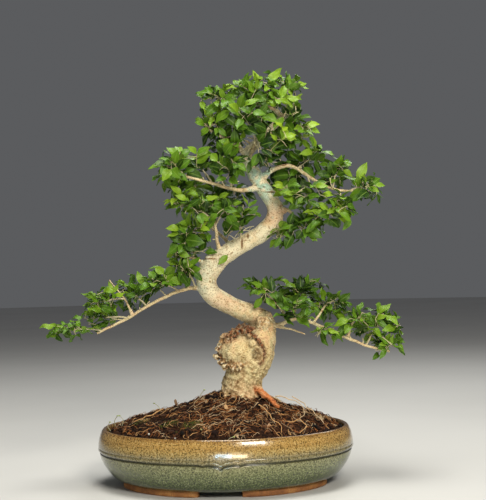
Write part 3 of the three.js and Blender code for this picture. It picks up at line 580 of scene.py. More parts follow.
branches = {
    "low_left": [[-18, -5, 228, 3.6], [-29, -6, 228, 2.8], [-47, -8, 226, 2.4], [-78, -14, 213, 2.2],
                 [-110, -20, 195, 2.1], [-145, -26, 179, 1.9]],
    "low_right": [[51, 0, 185, 4], [64, -8, 182, 2.8], [77, -14, 187, 2.5], [88, -18, 190, 2.3],
                  [106, -20, 184, 2.2], [135, -22, 171, 2.1], [170, -22, 156, 2], [193, -20, 150, 1.8]],
    "low_right_thin": [[64, -8, 181, 1.6], [82, -14, 177, 1.2], [96, -20, 172, 1]],
    "low_right_rise": [[76, -14, 188, 1.8], [68, -8, 202, 1.4], [54, -4, 218, 1.2]],
    "low_right_mid": [[82, -15, 188, 1.8], [87, -4, 203, 1.5], [99, 8, 216, 1.2]],
    "low_right_fork": [[106, -20, 185, 1.8], [115, -14, 196, 1.5], [123, -6, 208, 1.2]],
    "low_right_stub": [[145, -22, 168, 1.7], [151, -19, 183, 1.5], [164, -15, 196, 1.3]],
    "low_left_stub": [[-104, -19, 198, 1.7], [-112, -16, 215, 1.5], [-131, -12, 240, 1.2]],
    "mid_left": [[48, 2, 346, 3.6], [32, -8, 342, 2.8], [21, -12, 342, 2.6], [7, -15, 345, 2.4],
                 [-13, -18, 351, 2.2], [-41, -24, 359, 1.9]],
    "rise_left": [[-1, -3, 268, 3], [-4, -12, 284, 2.2], [-5, -16, 295, 2], [-5, -18, 306, 1.8]],
    "bend_left": [[-17, -6, 256, 2.6], [-33, -12, 263, 1.8], [-47, -18, 266, 1.5]],
    "mid_right": [[50, 2, 355, 3.8], [60, 2, 364, 3], [73, 0, 369, 2.8], [85, -2, 369, 2.6],
                  [100, -6, 360, 2.4], [119, -12, 346, 2.2], [141, -16, 338, 1.9], [156, -19, 338, 1.6]],
    "nub_right": [[66, 2, 318, 5], [73, 0, 318.5, 3.6], [81, -2, 316, 2.2], [90, -10, 304, 1.7],
                  [97, -14, 294, 1.4]],
    "crown_left": [[35, 2, 382, 3.2], [20, -6, 395, 2.4], [0, -10, 407, 2], [-14, -12, 416, 1.7]],
    "crown_top_left": [[76, 2, 428, 3], [65, -6, 437, 2.3], [49, -12, 438, 2], [30, -18, 440, 1.8],
                       [12, -22, 440, 1.5]],
    "crown_tip": [[76, 2, 427, 3], [83, 3, 443, 2], [88, 2, 454, 1.5]],
    "crown_back": [[42, 4, 396, 3], [46, 20, 406, 2.2], [48, 38, 414, 1.7]],
    "crown_front": [[35, 0, 376, 3], [40, -14, 388, 2.1], [44, -28, 400, 1.6]],
    "mid_back": [[59, 5, 330, 3.6], [62, 22, 338, 2.5], [70, 44, 344, 2], [80, 62, 350, 1.6]],
    "left_back": [[14, 1, 274, 3.2], [4, 18, 286, 2.3], [-10, 38, 298, 1.9], [-24, 54, 306, 1.5]],
}
surface_roots = [
    [[34, -10, 114, 5.4], [45, -19, 105, 4.2], [54, -25, 98, 3], [63, -30, 88, 1.8]],
    [[30, 6, 106, 6], [48, 8, 98, 4], [66, 12, 88, 2.4], [78, 14, 78, 1.4]],
    [[8, -10, 106, 6], [-2, -17, 98, 4], [-16, -24, 90, 2.4], [-26, -28, 80, 1.4]],
    [[6, 8, 106, 6], [-8, 20, 98, 4], [-20, 32, 88, 2.6], [-28, 40, 76, 1.6]],
    [[26, 14, 106, 6], [34, 28, 98, 4], [42, 42, 87, 2.6], [46, 50, 76, 1.6]],
]
burl = ((16, -7, 153), (22, 21, 22))
burl_hollow = ((39, -26, 150), (5, 7, 6.5))
burl_knob = ((35, -25, 163), (4.6, 4, 4.4))
burl_face = ((26, -27, 155), (12, 9, 16))
crumbly_knot = ((47, -10, 186), (9, 6.5, 8.5))
knot_front, knot_front_reach = (47, -15, 186), (8, 7, 8)
knot_grains, knot_grain_size = 16, (2.8, 2.6, 2.6)
old_wound = ((-13, -13, 262), (5, 4, 6))
burl_crest = [(8, -19, 170), (16, -21, 177), (26, -20, 181), (34, -22, 176)]
burl_side = [(36, -24, 173), (42, -23, 165), (47, -20, 156), (47, -20, 147), (43, -22, 140)]
burl_edge = [(8, -20, 170), (2, -15, 166), (-3, -12, 158), (-5, -11, 148), (0, -17, 139), (10, -23, 137),
             (22, -26, 138)]
cut_stub = ((74, 0, 317), (6.5, 4.5, 4.5))
stub_tip = (76, -1, 318)
wood_voxel, branch_sides, twig_sides = 0.95, 10, 6
scars = [
    ((61, -5, 339), (7, 6, 0.7)), ((25, -8, 279), (1.1, 8, 6)), ((32, -8, 288), (0.9, 7, 3)),
    ((-12, -14, 262), (6, 5, 0.8)),
]
rim_grains = [
    (burl_crest, 110, (1.0, 2.8), 9.0), (burl_side, 60, (0.8, 2.0), 4.0), (burl_edge, 95, (1.4, 4.4), 9.0),
]
bare_twigs = [
    ("leader", 0.78, 0.99, 16), ("crown_top_left", 0.1, 0.95, 9), ("crown_left", 0.2, 0.95, 6),
    ("mid_left", 0.2, 0.95, 8), ("mid_right", 0.2, 0.95, 8), ("low_left", 0.15, 0.9, 7),
    ("low_right", 0.15, 0.9, 8), ("rise_left", 0.3, 0.95, 4), ("crown_back", 0.2, 0.9, 4),
    ("crown_front", 0.2, 0.9, 5), ("mid_back", 0.2, 0.9, 4), ("left_back", 0.2, 0.9, 4),
]
fresh_buds = [((-4, -13, 253), 1.6), ((-9, -16, 236), 1.3), ((23, -8, 283), 1.2), ((62, -5, 309), 1.3)]
# ash is the grey of the painted shade on the bark's left and under sides.
cream, straw, ash = (0.76, 0.63, 0.37), (0.78, 0.56, 0.28), (0.46, 0.46, 0.31)
olive, salmon = (0.52, 0.50, 0.27), (0.70, 0.40, 0.22)
pit_tint, bloom = (0.33, 0.22, 0.12), (0.93, 0.85, 0.62)
branch_bark, twig_bark, bud_colour = (0.70, 0.58, 0.34), (0.66, 0.58, 0.36), (0.8, 0.72, 0.5)


class Limb:
    """A smooth curve through rows of x, y, z and radius."""

    def __init__(self, rows):
        self.rows = np.array(rows, float)
        self.spans = len(rows) - 1

    def at(self, t):
        place = self.spans * t
        first = math.floor(place)
        share = place - first
        if share == 0 and first == self.spans:
            first, share = self.spans - 1, 1.0
        spots = self.rows[:, :3]
        p1, p2 = spots[first], spots[first + 1]
        p0 = spots[first - 1] if first > 0 else (spots[0] - spots[1]) + spots[0]
        p3 = spots[first + 2] if first + 2 <= self.spans else (spots[-1] - spots[-2]) + spots[-1]
        pull, push = 0.5 * (p2 - p0), 0.5 * (p3 - p1)
        square, cube = -3 * p1 + 3 * p2 - 2 * pull - push, 2 * p1 - 2 * p2 + pull + push
        return p1 + pull * share + square * share * share + cube * share * share * share

    def radius_at(self, t):
        span = min(math.floor(t * self.spans), self.spans - 1)
        share = t * self.spans - span
        return (1 - share) * self.rows[span, 3] + share * self.rows[span + 1, 3]

    def line(self, steps, last=1.0):
        shares = np.linspace(0, last, steps + 1)
        return np.array([self.at(t) for t in shares]), np.array([self.radius_at(t) for t in shares])


def lump(middle, half, bumps, columns=28, rows=18):
    up = np.linspace(-np.pi / 2, np.pi / 2, rows + 1)[1:-1]
    around = 2 * np.pi * np.arange(columns) / columns
    ball = [(math.cos(v) * math.cos(u), math.cos(v) * math.sin(u), math.sin(v)) for v in up for u in around]
    ball = np.array([*ball, (0, 0, -1), (0, 0, 1)])
    swell = 1 + bumps * rough(ball * 2.2, 1.0, middle[0])
    return ball * swell[:, None] * half + middle, closed_rows(rows - 1, columns)


limbs = {"leader": Limb(leader), "lower_trunk": Limb(lower_trunk)}
for name, rows in branches.items():
    limbs[name] = Limb(rows)

draw = draw_from(29)
core = Heap()
for name, steps, sides in (("lower_trunk", 60, 48), ("leader", 260, 32)):
    core.add(*strand(*limbs[name].line(steps), sides), 0)
for name in branches:
    line, radii = limbs[name].line(8, 0.22)
    core.add(*strand(line, radii * np.linspace(1.25, 1.0, len(radii)), 14), 0)
for rows in surface_roots:
    core.add(*strand(*Limb(rows).line(24), 16), 0)
for middle, half in (burl, burl_knob, crumbly_knot, old_wound, cut_stub):
    core.add(*lump(middle, half, 0.12), 0)
for line, count, sizes, scatter in rim_grains:
    line = smooth_line(line, 8)
    for _ in range(count):
        spread = np.array([draw() - 0.5, 0.7 * (draw() - 0.35), draw() - 0.5])
        spot = line[int(draw() * len(line))] + spread * scatter
        size = sizes[0] + (sizes[1] - sizes[0]) * draw() ** 1.6
        core.add(*lump(spot, (size, size * 0.8, size * 0.9), 0.3, 8, 6), 0)
for _ in range(knot_grains):
    angle = 2 * math.pi * draw()
    reach = math.sqrt(draw())
    offset = (7.5 * reach * math.cos(angle), 2 * reach, 7 * reach * math.sin(angle))
    core.add(*lump(np.add(knot_front, offset), knot_grain_size, 0.3, 8, 6), 0)
trunk = core.mesh("trunk_wood")
grown_together = trunk.modifiers.new("grown_together", "REMESH")
grown_together.mode, grown_together.voxel_size, grown_together.adaptivity = "VOXEL", wood_voxel * mm, 0
softened = trunk.modifiers.new("softened", "SMOOTH")
softened.factor, softened.iterations = 0.5, 2
apply_modifiers(trunk)


def near(points, middle, reach):
    away = np.linalg.norm((points - middle) / reach, axis=1)
    return np.clip(1.5 - away, 0, 1)


def near_line(points, rows, reach):
    spots = smooth_line(rows, 6)
    away = np.min(np.linalg.norm(points[:, None, :] - spots[None, :, :], axis=2), axis=1)
    return np.clip(1.5 - away / reach, 0, 1)


def read_mesh(mesh):
    points, normals = np.empty(len(mesh.vertices) * 3), np.empty(len(mesh.vertices) * 3)
    mesh.vertices.foreach_get("co", points)
    mesh.vertices.foreach_get("normal", normals)
    edges = np.empty(len(mesh.edges) * 2, int)
    mesh.edges.foreach_get("vertices", edges)
    return points.reshape(-1, 3) / mm, normals.reshape(-1, 3), edges.reshape(-1, 2)


wood, outward, wood_edges = read_mesh(trunk.data)
wood_faces = [tuple(polygon.vertices) for polygon in trunk.data.polygons]
bpy.data.objects.remove(trunk)
bare_face = near(wood, *burl_face) * (outward[:, 1] < 0.1)
rim = np.maximum(near_line(wood, burl_crest, 7.5), near_line(wood, burl_side, 3.4)) * (1 - bare_face)
edge = near_line(wood, burl_edge, 6.5) * (1 - bare_face) * (1 - 0.7 * near_line(wood, burl_crest, 6))
knot = near(wood, knot_front, knot_front_reach)
hollow = near(wood, *burl_hollow)
low = np.clip((172 - wood[:, 2]) / 40, 0, 1)
fine, middling, broad = rough(wood, 2.2), rough(wood, 5.5, 3.3), rough(wood, 15, 8.1)
ridged = wood * (0.45, 0.45, 1) + np.outer(wood[:, 0], (0, 0, 0.25))
wrinkles = rough(ridged, 3.0, 5.5)
creases = -np.clip(0.32 - np.abs(rough(ridged, 7.5, 2.2)), 0, 1) ** 2
slanted = rough(wood * (0.3, 0.4, 1) + np.outer(wood[:, 0], (0, 0, 0.7)), 3.4, 6.1)
push = 0.16 * fine + 0.3 * middling + 1.0 * broad + 0.22 * wrinkles + 1.0 * creases
push += low * (1.0 * middling + 0.5 * fine + 0.9 * slanted + 1.5 * creases)
push += (rim + 0.8 * edge + 0.7 * knot) * (1.5 * rough(wood, 1.9, 2.7) + 1.1 * rough(wood, 3.6, 6.6))
push *= 1 - 0.6 * bare_face
push -= hollow * (2.6 + 2.0 * rough(wood, 2.4, 4.9))
for place, reach in scars:
    push -= 1.5 * near(wood, place, reach)
wood = wood + outward * push[:, None]


def bulge(points, outward, edges, rounds):
    ends = np.concatenate([edges, edges[:, ::-1]])
    count = np.bincount(ends[:, 0], minlength=len(points))
    beside = [np.bincount(ends[:, 0], points[ends[:, 1], axis], len(points)) / count for axis in range(3)]
    height = ((points - np.stack(beside, axis=1)) * outward).sum(1)
    for _ in range(rounds):
        height = np.bincount(ends[:, 0], height[ends[:, 1]], len(points)) / count
    return height


def blended(paint, share, colour):
    share = np.clip(share, 0, 1)[:, None]
    return paint * (1 - share) + np.array(colour) * share


def bark_paint(points, facing):
    mottle, patch = rough(points, 7, 1.1), rough(points, 22, 6.2)
    left_side_shade, underside_shade = np.clip(-facing[:, 0], 0, 1), np.clip(-facing[:, 2], 0, 1)
    paint = np.tile(cream, (len(points), 1))
    paint = blended(paint, 0.5 + 1.4 * patch + 0.9 * mottle, straw)
    paint = blended(paint, np.clip(2.2 * rough(points, 4.5, 3.7) - 0.15, 0, 0.55), olive)
    paint = blended(paint, np.clip(2.4 * rough(points, 5.5, 14.2) - 0.25, 0, 0.5), salmon)
    # Painted shade: bark that faces left and bark that faces down is blended towards grey.
    return blended(paint, left_side_shade * (0.55 + mottle) + 0.4 * underside_shade, ash)


# How far each point stands out from its neighbours. The coats below use it to paint shade in the hollows and
# highlights on the raised parts.
raised = 12 * bulge(wood, outward, wood_edges, 2)
lumpy = np.clip(rim + edge + 0.65 * knot, 0, 1)
smooth_low = low * (1 - lumpy)
upper = np.clip((wood[:, 2] - 190) / 35, 0, 1)
lichen = near(wood, (50, 0, 359), (24, 24, 34)) * np.clip(0.6 + 2.2 * rough(wood, 6, 7.7), 0, 1)
bend_left_grey_green = near(wood, (-26, -8, 240), (13, 18, 26)) * np.clip(0.7 + 2.0 * rough(wood, 5, 10.4), 0, 1)
blush = near(wood, (7, 0, 214), (20, 20, 10)) + near(wood, stub_tip, (6, 6, 6))
blush = 0.5 * (blush + near(wood, (64, -2, 310), (13, 16, 12))) * (outward[:, 2] < 0.6)
foot_glow = np.clip((126 - wood[:, 2]) / 20, 0, 1)
bared_root = near_line(wood, [row[:3] for row in surface_roots[0]], 5.6)
bared_root *= np.clip((115 - wood[:, 2]) / 6, 0, 1)
under_leader = near(wood, (30, -14, 185), (13, 12, 4)) * (1 - knot)
coats = [
    # Paler bark on the upper trunk and leader: partly its own cream colour, partly painted light.
    ("pale upper bark with painted light", 0.7 * upper * np.clip(0.9 + rough(wood, 9, 5.3), 0, 1), (0.92, 0.86, 0.62)),
    ("lichen", 0.95 * lichen, (0.42, 0.62, 0.47)),
    # Grey-green patches on the left side of the lowest bend.
    ("grey-green left of the bend", 0.75 * bend_left_grey_green, (0.52, 0.57, 0.40)),
    ("lichen crust", 0.8 * lichen * np.clip(5 * rough(wood, 3, 2.9) - 1, 0, 1), (0.74, 0.82, 0.74)),
    ("lower bark", 0.4 * low, (0.66, 0.47, 0.20)),
    ("green film", 0.45 * low * np.clip(0.1 + 2.5 * middling, 0, 1), (0.44, 0.42, 0.19)),
    *(("scar", 1.3 * near(wood, place, reach), (0.16, 0.065, 0.025)) for place, reach in scars),
    ("blush on the bends", blush, (0.78, 0.44, 0.24)),
    ("foot", 0.6 * foot_glow, (0.60, 0.35, 0.21)),
    ("bare face of the burl", 0.85 * bare_face, (0.72, 0.57, 0.29)),
    ("brown patches", 0.6 * bare_face * np.clip(3 * rough(wood, 5, 7.1) - 0.2, 0, 1), (0.52, 0.33, 0.13)),
    ("rim of the burl", rim * (0.95 + 1.0 * rough(wood, 3, 4.4)), (0.12, 0.04, 0.013)),
    ("ragged edge", edge * (0.7 + 2.0 * rough(wood, 4, 5.9)), (0.36, 0.15, 0.045)),
    ("hollow", hollow * (1.0 + 1.6 * rough(wood, 2.6, 8.8)), (0.05, 0.048, 0.034)),
    # Painted shade in the cracks of the knot, darker where the surface is pushed in.
    ("painted shade in the cracks of the knot", 0.75 * knot * np.clip(0.1 - 4 * push, 0, 1), (0.38, 0.20, 0.075)),
    ("white bits", (edge + 0.6 * knot) * np.clip(6 * rough(wood, 2.6, 12.3) - 1.9, 0, 1), (0.82, 0.76, 0.6)),
    # Painted shade: near-black in the hollows between the lumps of the rim, the ragged edge and the knot.
    ("painted shade between lumps", lumpy * np.clip(-1.6 * raised - 0.1, 0, 0.95), (0.04, 0.014, 0.005)),
    # Painted highlights on the raised parts: golden lump sides (partly their own colour), pale lump tops and
    # lighter tops on the dark rim.
    ("golden lump sides with painted highlight", np.clip(edge + 0.7 * knot, 0, 1) * np.clip(raised - 0.3, 0, 1), (0.70, 0.50, 0.25)),
    ("painted highlight on lump tops", np.clip(edge + 0.4 * knot, 0, 1) * np.clip(2 * raised - 2.2, 0, 1), (0.86, 0.80, 0.62)),
    ("painted highlight on rim tops", rim * np.clip(raised - 0.5, 0, 0.8), (0.30, 0.105, 0.035)),
    # Painted shade in the creases of the lower trunk and painted highlight on its ridges.
    ("painted shade in low creases", smooth_low * np.clip(-1.1 * raised, 0, 0.7), (0.27, 0.21, 0.07)),
    ("painted highlight on low ridges", smooth_low * np.clip(raised - 0.1, 0, 0.6), (0.90, 0.76, 0.42)),
    ("bared root", 1.3 * bared_root, (0.60, 0.19, 0.055)),
    # Painted shade in the creases of the bared root.
    ("painted shade in root creases", bared_root * np.clip(-0.8 * raised, 0, 0.6), (0.22, 0.06, 0.02)),
    ("shade under the leader", 0.9 * under_leader, (0.06, 0.03, 0.015)),
    # Painted shade where the bark is pushed in deepest.
    ("painted shade in deep pits", np.clip(-0.9 * push - 0.3, 0, 0.7) * (1 - bare_face), (0.30, 0.18, 0.07)),
]
paint = bark_paint(wood, outward)
for _, share, colour in coats:
    paint = blended(paint, share, colour)

bark = Finish("privet_bark", 0.75, Specular_IOR_Level=0.3)
base = bark.mark("paint", "Color")
pits = bark.grain(1.6, 3, 0.7)
flecks = bark.grain(3.0, 2, 0.6, stretch=(0.6, 0.6, 1.4))
darker = bark.mix(1.0, base, pit_tint, "MULTIPLY")
colour = bark.mix(bark.ramp(pits, [(0.33, 0.9), (0.47, 0.0)]), base, darker)
colour = bark.mix(bark.ramp(flecks, [(0.32, 0.8), (0.41, 0.0)]), colour, darker)
colour = bark.mix(bark.ramp(pits, [(0.57, 0.0), (0.72, 0.35)]), colour, bloom)
gloss = bark.ramp(flecks, [(0.3, 0.85), (0.7, 0.6)])
bark.wear(colour, bark.sum(pits, 0.7, flecks), 0.55, 0.9, gloss)


def swaying(line, size, shifts):
    return np.stack([rough(line, size, shift) for shift in shifts], axis=1)


timber = Heap()
timber.add(wood, wood_faces, paint)
draw = draw_from(61)
for name in branches:
    limb = limbs[name]
    line, radii = limb.line(6 * limb.spans + 6)
    fade = 0.9 * np.minimum(1, np.arange(len(line)) / 6)[:, None]
    last_width = 0.5 if "stub" in name else 0.75
    radii = radii * (1 + 0.16 * rough(line, 4, 9.1)) * np.linspace(0.95, last_width, len(line))
    points, faces = strand(line + swaying(line, 11, (1.5, 4.5, 8.5)) * fade, radii, branch_sides)
    facing = points - np.repeat(line, branch_sides, axis=0)
    facing /= np.linalg.norm(facing, axis=1)[:, None] + 1e-9
    share = np.full(len(points), 0.35)
    timber.add(points, faces, blended(bark_paint(points, facing), share, branch_bark))
for name, first, last, count in bare_twigs:
    for _ in range(count):
        start = limbs[name].at(first + (last - first) * draw())
        length = 5 + 13 * draw()
        angle, rise = 2 * math.pi * draw(), 0.1 + 0.9 * draw()
        way = (math.cos(angle) * math.cos(rise), math.sin(angle) * math.cos(rise), math.sin(rise))
        end = start + length * np.array(way)
        bow = (start + end) / 2 + np.array([draw() - 0.5, draw() - 0.5, draw() - 0.3]) * 0.25 * length
        line = smooth_line([start, bow, end], 3)
        timber.add(*strand(line, np.linspace(0.85, 0.6, len(line)), twig_sides), twig_bark)
for spot, size in fresh_buds:
    timber.add(*lump(spot, (size, size, size * 1.2), 0.2, 10, 8), bud_colour)
wood_piece = timber.mesh("trunk_and_branches", bark)
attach(wood_piece, "root")
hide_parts("trunk")

# The leafy sprays
# Green shoots with opposite pairs of small pointed leaves, folded along the midrib and arched. The
# leaves of the frame stand where it has them, and younger shoots between them fill each spray.
# A row is its name, its branch, the share along it, its middle, its reach, its heading and its shoots.
sprays = [
    ["left_tip", "low_left", 0.97, [-179, -30, 184], [23, 18, 7], 180, 3],
    ["left_outer", "low_left", 0.8, [-143, -14, 196], [23, 20, 11], 130, 2],
    ["left_stub", "low_left_stub", 0.55, [-140, -22, 215], [20, 20, 12], 200, 2],
    ["left_middle", "low_left", 0.66, [-108, -6, 225], [19, 22, 16], 110, 2],
    ["left_inner", "low_left", 0.42, [-75, -16, 236], [20, 22, 12], 200, 2],
    ["left_root", "low_left", 0.22, [-39, -22, 250], [14, 18, 15], 230, 2],
    ["right_tip", "low_right", 0.97, [189, -20, 157], [19, 18, 12], 350, 3],
    ["right_outer", "low_right", 0.84, [186, -4, 185], [19, 20, 14], 60, 2],
    ["right_stub", "low_right_stub", 0.6, [156, -26, 187], [15, 20, 14], 270, 2],
    ["right_fork", "low_right_fork", 0.97, [134, -6, 209], [16, 20, 12], 30, 2],
    ["right_middle", "low_right_mid", 0.97, [99, 10, 226], [20, 20, 12], 90, 2],
    ["right_inner", "low_right_rise", 0.9, [48, -8, 224], [23, 20, 15], 170, 3],
    ["right_front", "low_right", 0.28, [82, -32, 203], [23, 18, 15], 270, 2],
    ["right_under", "low_right", 0.56, [119, -32, 173], [16, 14, 7], 250, 2],
    ["mid_left_tip", "mid_left", 0.97, [-55, -26, 370], [20, 22, 20], 190, 3],
    ["mid_left_middle", "mid_left", 0.75, [-25, -4, 374], [21, 24, 19], 110, 2],
    ["mid_left_root", "mid_left", 0.5, [12, -28, 369], [17, 20, 17], 250, 2],
    ["mid_left_under", "mid_left", 0.45, [17, 8, 337], [30, 20, 11], 220, 2],
    ["rise_left_tip", "rise_left", 0.97, [-30, -24, 321], [20, 22, 14], 190, 3],
    ["rise_left_top", "rise_left", 0.85, [8, -30, 319], [21, 18, 14], 310, 2],
    ["rise_left_inner", "leader", 0.4, [27, -24, 307], [20, 14, 19], 250, 2],
    ["bend_left_tip", "bend_left", 0.97, [-37, -22, 289], [20, 20, 13], 200, 2],
    ["bend_left_low", "bend_left", 0.5, [-30, -8, 272], [18, 18, 12], 160, 2],
    ["left_back_tip", "left_back", 0.95, [-22, 56, 319], [21, 20, 16], 110, 2],
    ["mid_right_tip", "mid_right", 0.97, [171, -18, 341], [17, 20, 14], 350, 3],
    ["mid_right_outer", "mid_right", 0.8, [138, 2, 361], [19, 22, 15], 70, 2],
    ["mid_right_low", "mid_right", 0.86, [140, -26, 318], [16, 18, 19], 290, 2],
    ["mid_right_under", "mid_right", 0.6, [109, -24, 331], [19, 18, 20], 250, 2],
    ["mid_right_root", "mid_right", 0.5, [108, 2, 378], [20, 22, 15], 60, 2],
    ["nub_right_tip", "nub_right", 0.97, [96, -16, 298], [22, 18, 16], 310, 3],
    ["nub_right_low", "leader", 0.53, [70, -16, 287], [12, 12, 9], 260, 2],
    ["mid_back_tip", "mid_back", 0.9, [82, 48, 352], [23, 22, 25], 80, 3],
    ["crown_left_tip", "crown_left", 0.97, [-3, -12, 422], [18, 22, 18], 190, 3],
    ["crown_left_root", "crown_left", 0.5, [5, 8, 395], [23, 22, 17], 160, 2],
    ["crown_top_left", "crown_top_left", 0.97, [0, -22, 450], [21, 20, 12], 200, 2],
    ["crown_top", "crown_top_left", 0.6, [39, -14, 460], [23, 22, 15], 240, 3],
    ["crown_tip", "crown_tip", 0.97, [78, 2, 462], [21, 20, 19], 30, 3],
    ["crown_right", "leader", 0.94, [86, -16, 429], [14, 20, 16], 310, 2],
    ["crown_front", "crown_front", 0.97, [33, -32, 422], [22, 18, 22], 250, 3],
    ["crown_back", "crown_back", 0.97, [57, 42, 427], [24, 22, 24], 90, 3],
    ["crown_middle", "leader", 0.84, [82, -8, 397], [18, 22, 14], 330, 2],
    ["crown_low", "leader", 0.75, [60, -24, 377], [19, 14, 16], 280, 2],
]
leaf_length, leaf_half_width, leaf_room = (14.5, 21), 0.26, 4
pair_spacing, frame_pairs, filler_pairs, most_tries, frame_leaves = 7, 3, 5, 14, 7
stem_radii, shoot_radii, young_radii = (1.4, 1.0), (0.85, 0.6), (0.65, 0.45)
shoot_bow, shoot_slack, shoot_pace = 0.12, 1.03, 1.6
fan, free_start, most_shoots, young_tries = 1.3, 4, 3, 5
young_free_start, young_shoot_own, young_shoot_others = 3, 0.8, 1.3
shoot_seed, frame_seed, filler_seed = 1000, 50000, 90000
young_shoot_seed, young_leaf_seed, shade_seed = 200000, 400000, 7000
clear_of_others, clear_of_own, clear_of_wood = 2.4, 1.5, 1.7
frame_outline = [(0, 0), (0.3, 0.92), (0.64, 0.82), (1, 0)]
upward, tree_axis = np.array([0.0, 0.0, 1.0]), np.array([30.0, 8.0, 0.0])
sample_along = np.array([i / 10 for i in range(2, 10) for _ in range(5)] + [1.0])
sample_aside = np.array([-1, -0.5, 0, 0.5, 1] * 8 + [0.0])
sample_widths = np.interp(sample_along, *zip(*frame_outline))
rightmost = 212
# A marked leaf is its spray, its root, its tip and its tone; the tone holds painted light and shade.
marked_leaves = [
    ("crown_top", (58.8, -14, 465.7), (76.7, -16, 483.5), 0.75),
    ("crown_top", (49.5, -14, 468.3), (42, -14, 482), 0.85),
    ("mid_right_tip", (160.8, -18, 349.7), (173, -18, 370.4), 0.7),
    ("mid_right_low", (136.2, -28, 325), (146, -30, 297), 0.95),
    ("crown_low", (38, -24, 375.3), (34.2, -27, 359), 0.2),
    ("bend_left_low", (8.5, -16, 265.9), (-3, -22, 255), 0.7),
    ("left_inner", (-92, -20, 233.4), (-97.5, -20, 250), 0.6),
    ("left_tip", (-182.2, -30, 182.7), (-204, -32, 176.5), 0.6),
    ("left_tip", (-181, -30, 184), (-196, -30, 190), 0.5),
    ("left_stub", (-126.3, -18, 225), (-131.5, -20, 239), 0.8),
    ("left_stub", (-127, -18, 224), (-119, -20, 236), 0.7),
    ("right_tip", (203, -20, 160), (210, -22, 145), 0.5),
]
marked_radii, marked_gap = (0.6, 0.45), 2
marked_normal, marked_shape = (0.15, -0.85, 0.45), {"rise": 0.1, "droop": 0.2, "fold": 0.3, "twist": 0.3}
bare_places = [
    ([50, -28, 350], [11, 30, 18]), ([76, -28, 367], [18, 28, 6]), ([106, -34, 355], [12, 24, 6]),
    ([38, -28, 391], [13, 30, 11]), ([76, -26, 430], [9, 28, 9]), ([-2, -40, 290], [8, 24, 14]),
    ([20, -28, 281], [13, 28, 10]), ([40, -28, 293], [13, 28, 10]), ([58, -28, 306], [12, 28, 14]),
]
bare_middles = np.array([middle for middle, _ in bare_places], float)
bare_reaches = np.array([reach for _, reach in bare_places], float)
young_room, tip_room, young_clear_own, young_clear_others = 5.5, 10, 1.1, 1.4
young_shoots, usual_shoots, fringe_shoots = {"crown": 20, "left": 14, "right": 15}, 18, 8
young_leaf, low_young_leaf, leaf_spread = 0.92, 1.04, 0.38
light_side, low_light_side = np.array([0.1, -0.5, 0.1]), np.array([0, -0.15, 0.3])
nearest_host, furthest_host = 8, 26
fringes = {
    "crown_front": [([40, -36, 398], [26, 14, 20]), ([22, -34, 440], [22, 14, 16])],
    "crown_low": [([62, -36, 398], [22, 12, 16])],
    "crown_top": [([58, -22, 440], [26, 14, 16])],
    "crown_left_root": [([18, -28, 388], [22, 14, 14])],
    "crown_middle": [([100, -20, 408], [12, 12, 10])],
    "mid_left_tip": [([-48, 4, 348], [22, 14, 9])],
    "mid_left_under": [([-12, 16, 338], [24, 12, 9])],
    "mid_right_root": [([84, 16, 362], [18, 12, 16])],
    "mid_right_under": [([82, -24, 334], [16, 12, 14])],
    "mid_right_low": [([118, -28, 306], [14, 12, 12])],
    "rise_left_inner": [([14, -26, 292], [14, 10, 10])],
    "rise_left_tip": [([-48, -20, 330], [10, 12, 10])],
    "bend_left_tip": [([-22, -26, 300], [14, 12, 10])],
    "bend_left_low": [([-50, -18, 270], [10, 12, 10])],
    "left_root": [([-54, 0, 242], [14, 12, 9])],
    "left_inner": [([-92, 0, 226], [14, 12, 8])],
    "right_outer": [([200, -14, 172], [12, 12, 12])],
    "right_stub": [([168, 0, 176], [16, 12, 10])],
    "right_fork": [([116, 4, 202], [14, 12, 9])],
    "right_front": [([104, 0, 194], [16, 12, 9])],
    "right_inner": [([66, 6, 212], [14, 12, 9])],
}
blade_along = np.array([0.07, 0.18, 0.32, 0.48, 0.63, 0.77, 0.89])
blade_widths = np.array([0.15, 0.64, 0.95, 1.0, 0.88, 0.60, 0.27])
blade_sides = np.array([-1, -0.5, 0, 0.5, 1.0])
blade_thickness, leaf_crease = 0.4, math.radians(60)
slim_leaves = [
    (("left_t", "left_o", "left_s", "left_m"), 0.75), (("crown_t", "crown_l", "right"), 0.86),
]
upper_colours = ((0.005, 0.026, 0.002), (0.086, 0.198, 0.008), (0.27, 0.41, 0.020))
under_colours = ((0.008, 0.034, 0.004), (0.088, 0.19, 0.012), (0.25, 0.38, 0.035))
upper_rib, under_rib = (0.24, 0.38, 0.06), (0.26, 0.35, 0.08)
shoot_colours = [(0.3, (0.17, 0.2, 0.05)), (0.5, (0.34, 0.33, 0.12)), (0.7, (0.5, 0.43, 0.22))]
old_shoot, shoot_fleck = (0.60, 0.52, 0.34), (0.16, 0.1, 0.04)

span_steps = 24
span_starts, span_ends, span_radii = [], [], []
for limb in limbs.values():
    for step in range(span_steps):
        t, u = step / span_steps, (step + 1) / span_steps
        span_starts.append(limb.at(t))
        span_ends.append(limb.at(u))
        span_radii.append(max(limb.radius_at(t), limb.radius_at(u)))
span_starts, span_radii = np.array(span_starts), np.array(span_radii)
spans = np.array(span_ends) - span_starts
span_squares = (spans ** 2).sum(1)
span_middles, span_reaches = span_starts + spans / 2, np.sqrt(span_squares) / 2 + span_radii
most_clumps, clump_size = 8000, 41
clumps, clump_middles = np.empty((most_clumps, clump_size, 3)), np.empty((most_clumps, 3))
clump_reaches, clump_owners = np.empty(most_clumps), np.empty(most_clumps, int)
clump_count = 0


def middle_and_reach(points):
    middle = (points.min(0) + points.max(0)) / 2
    return middle, np.sqrt(((points - middle) ** 2).sum(1).max())


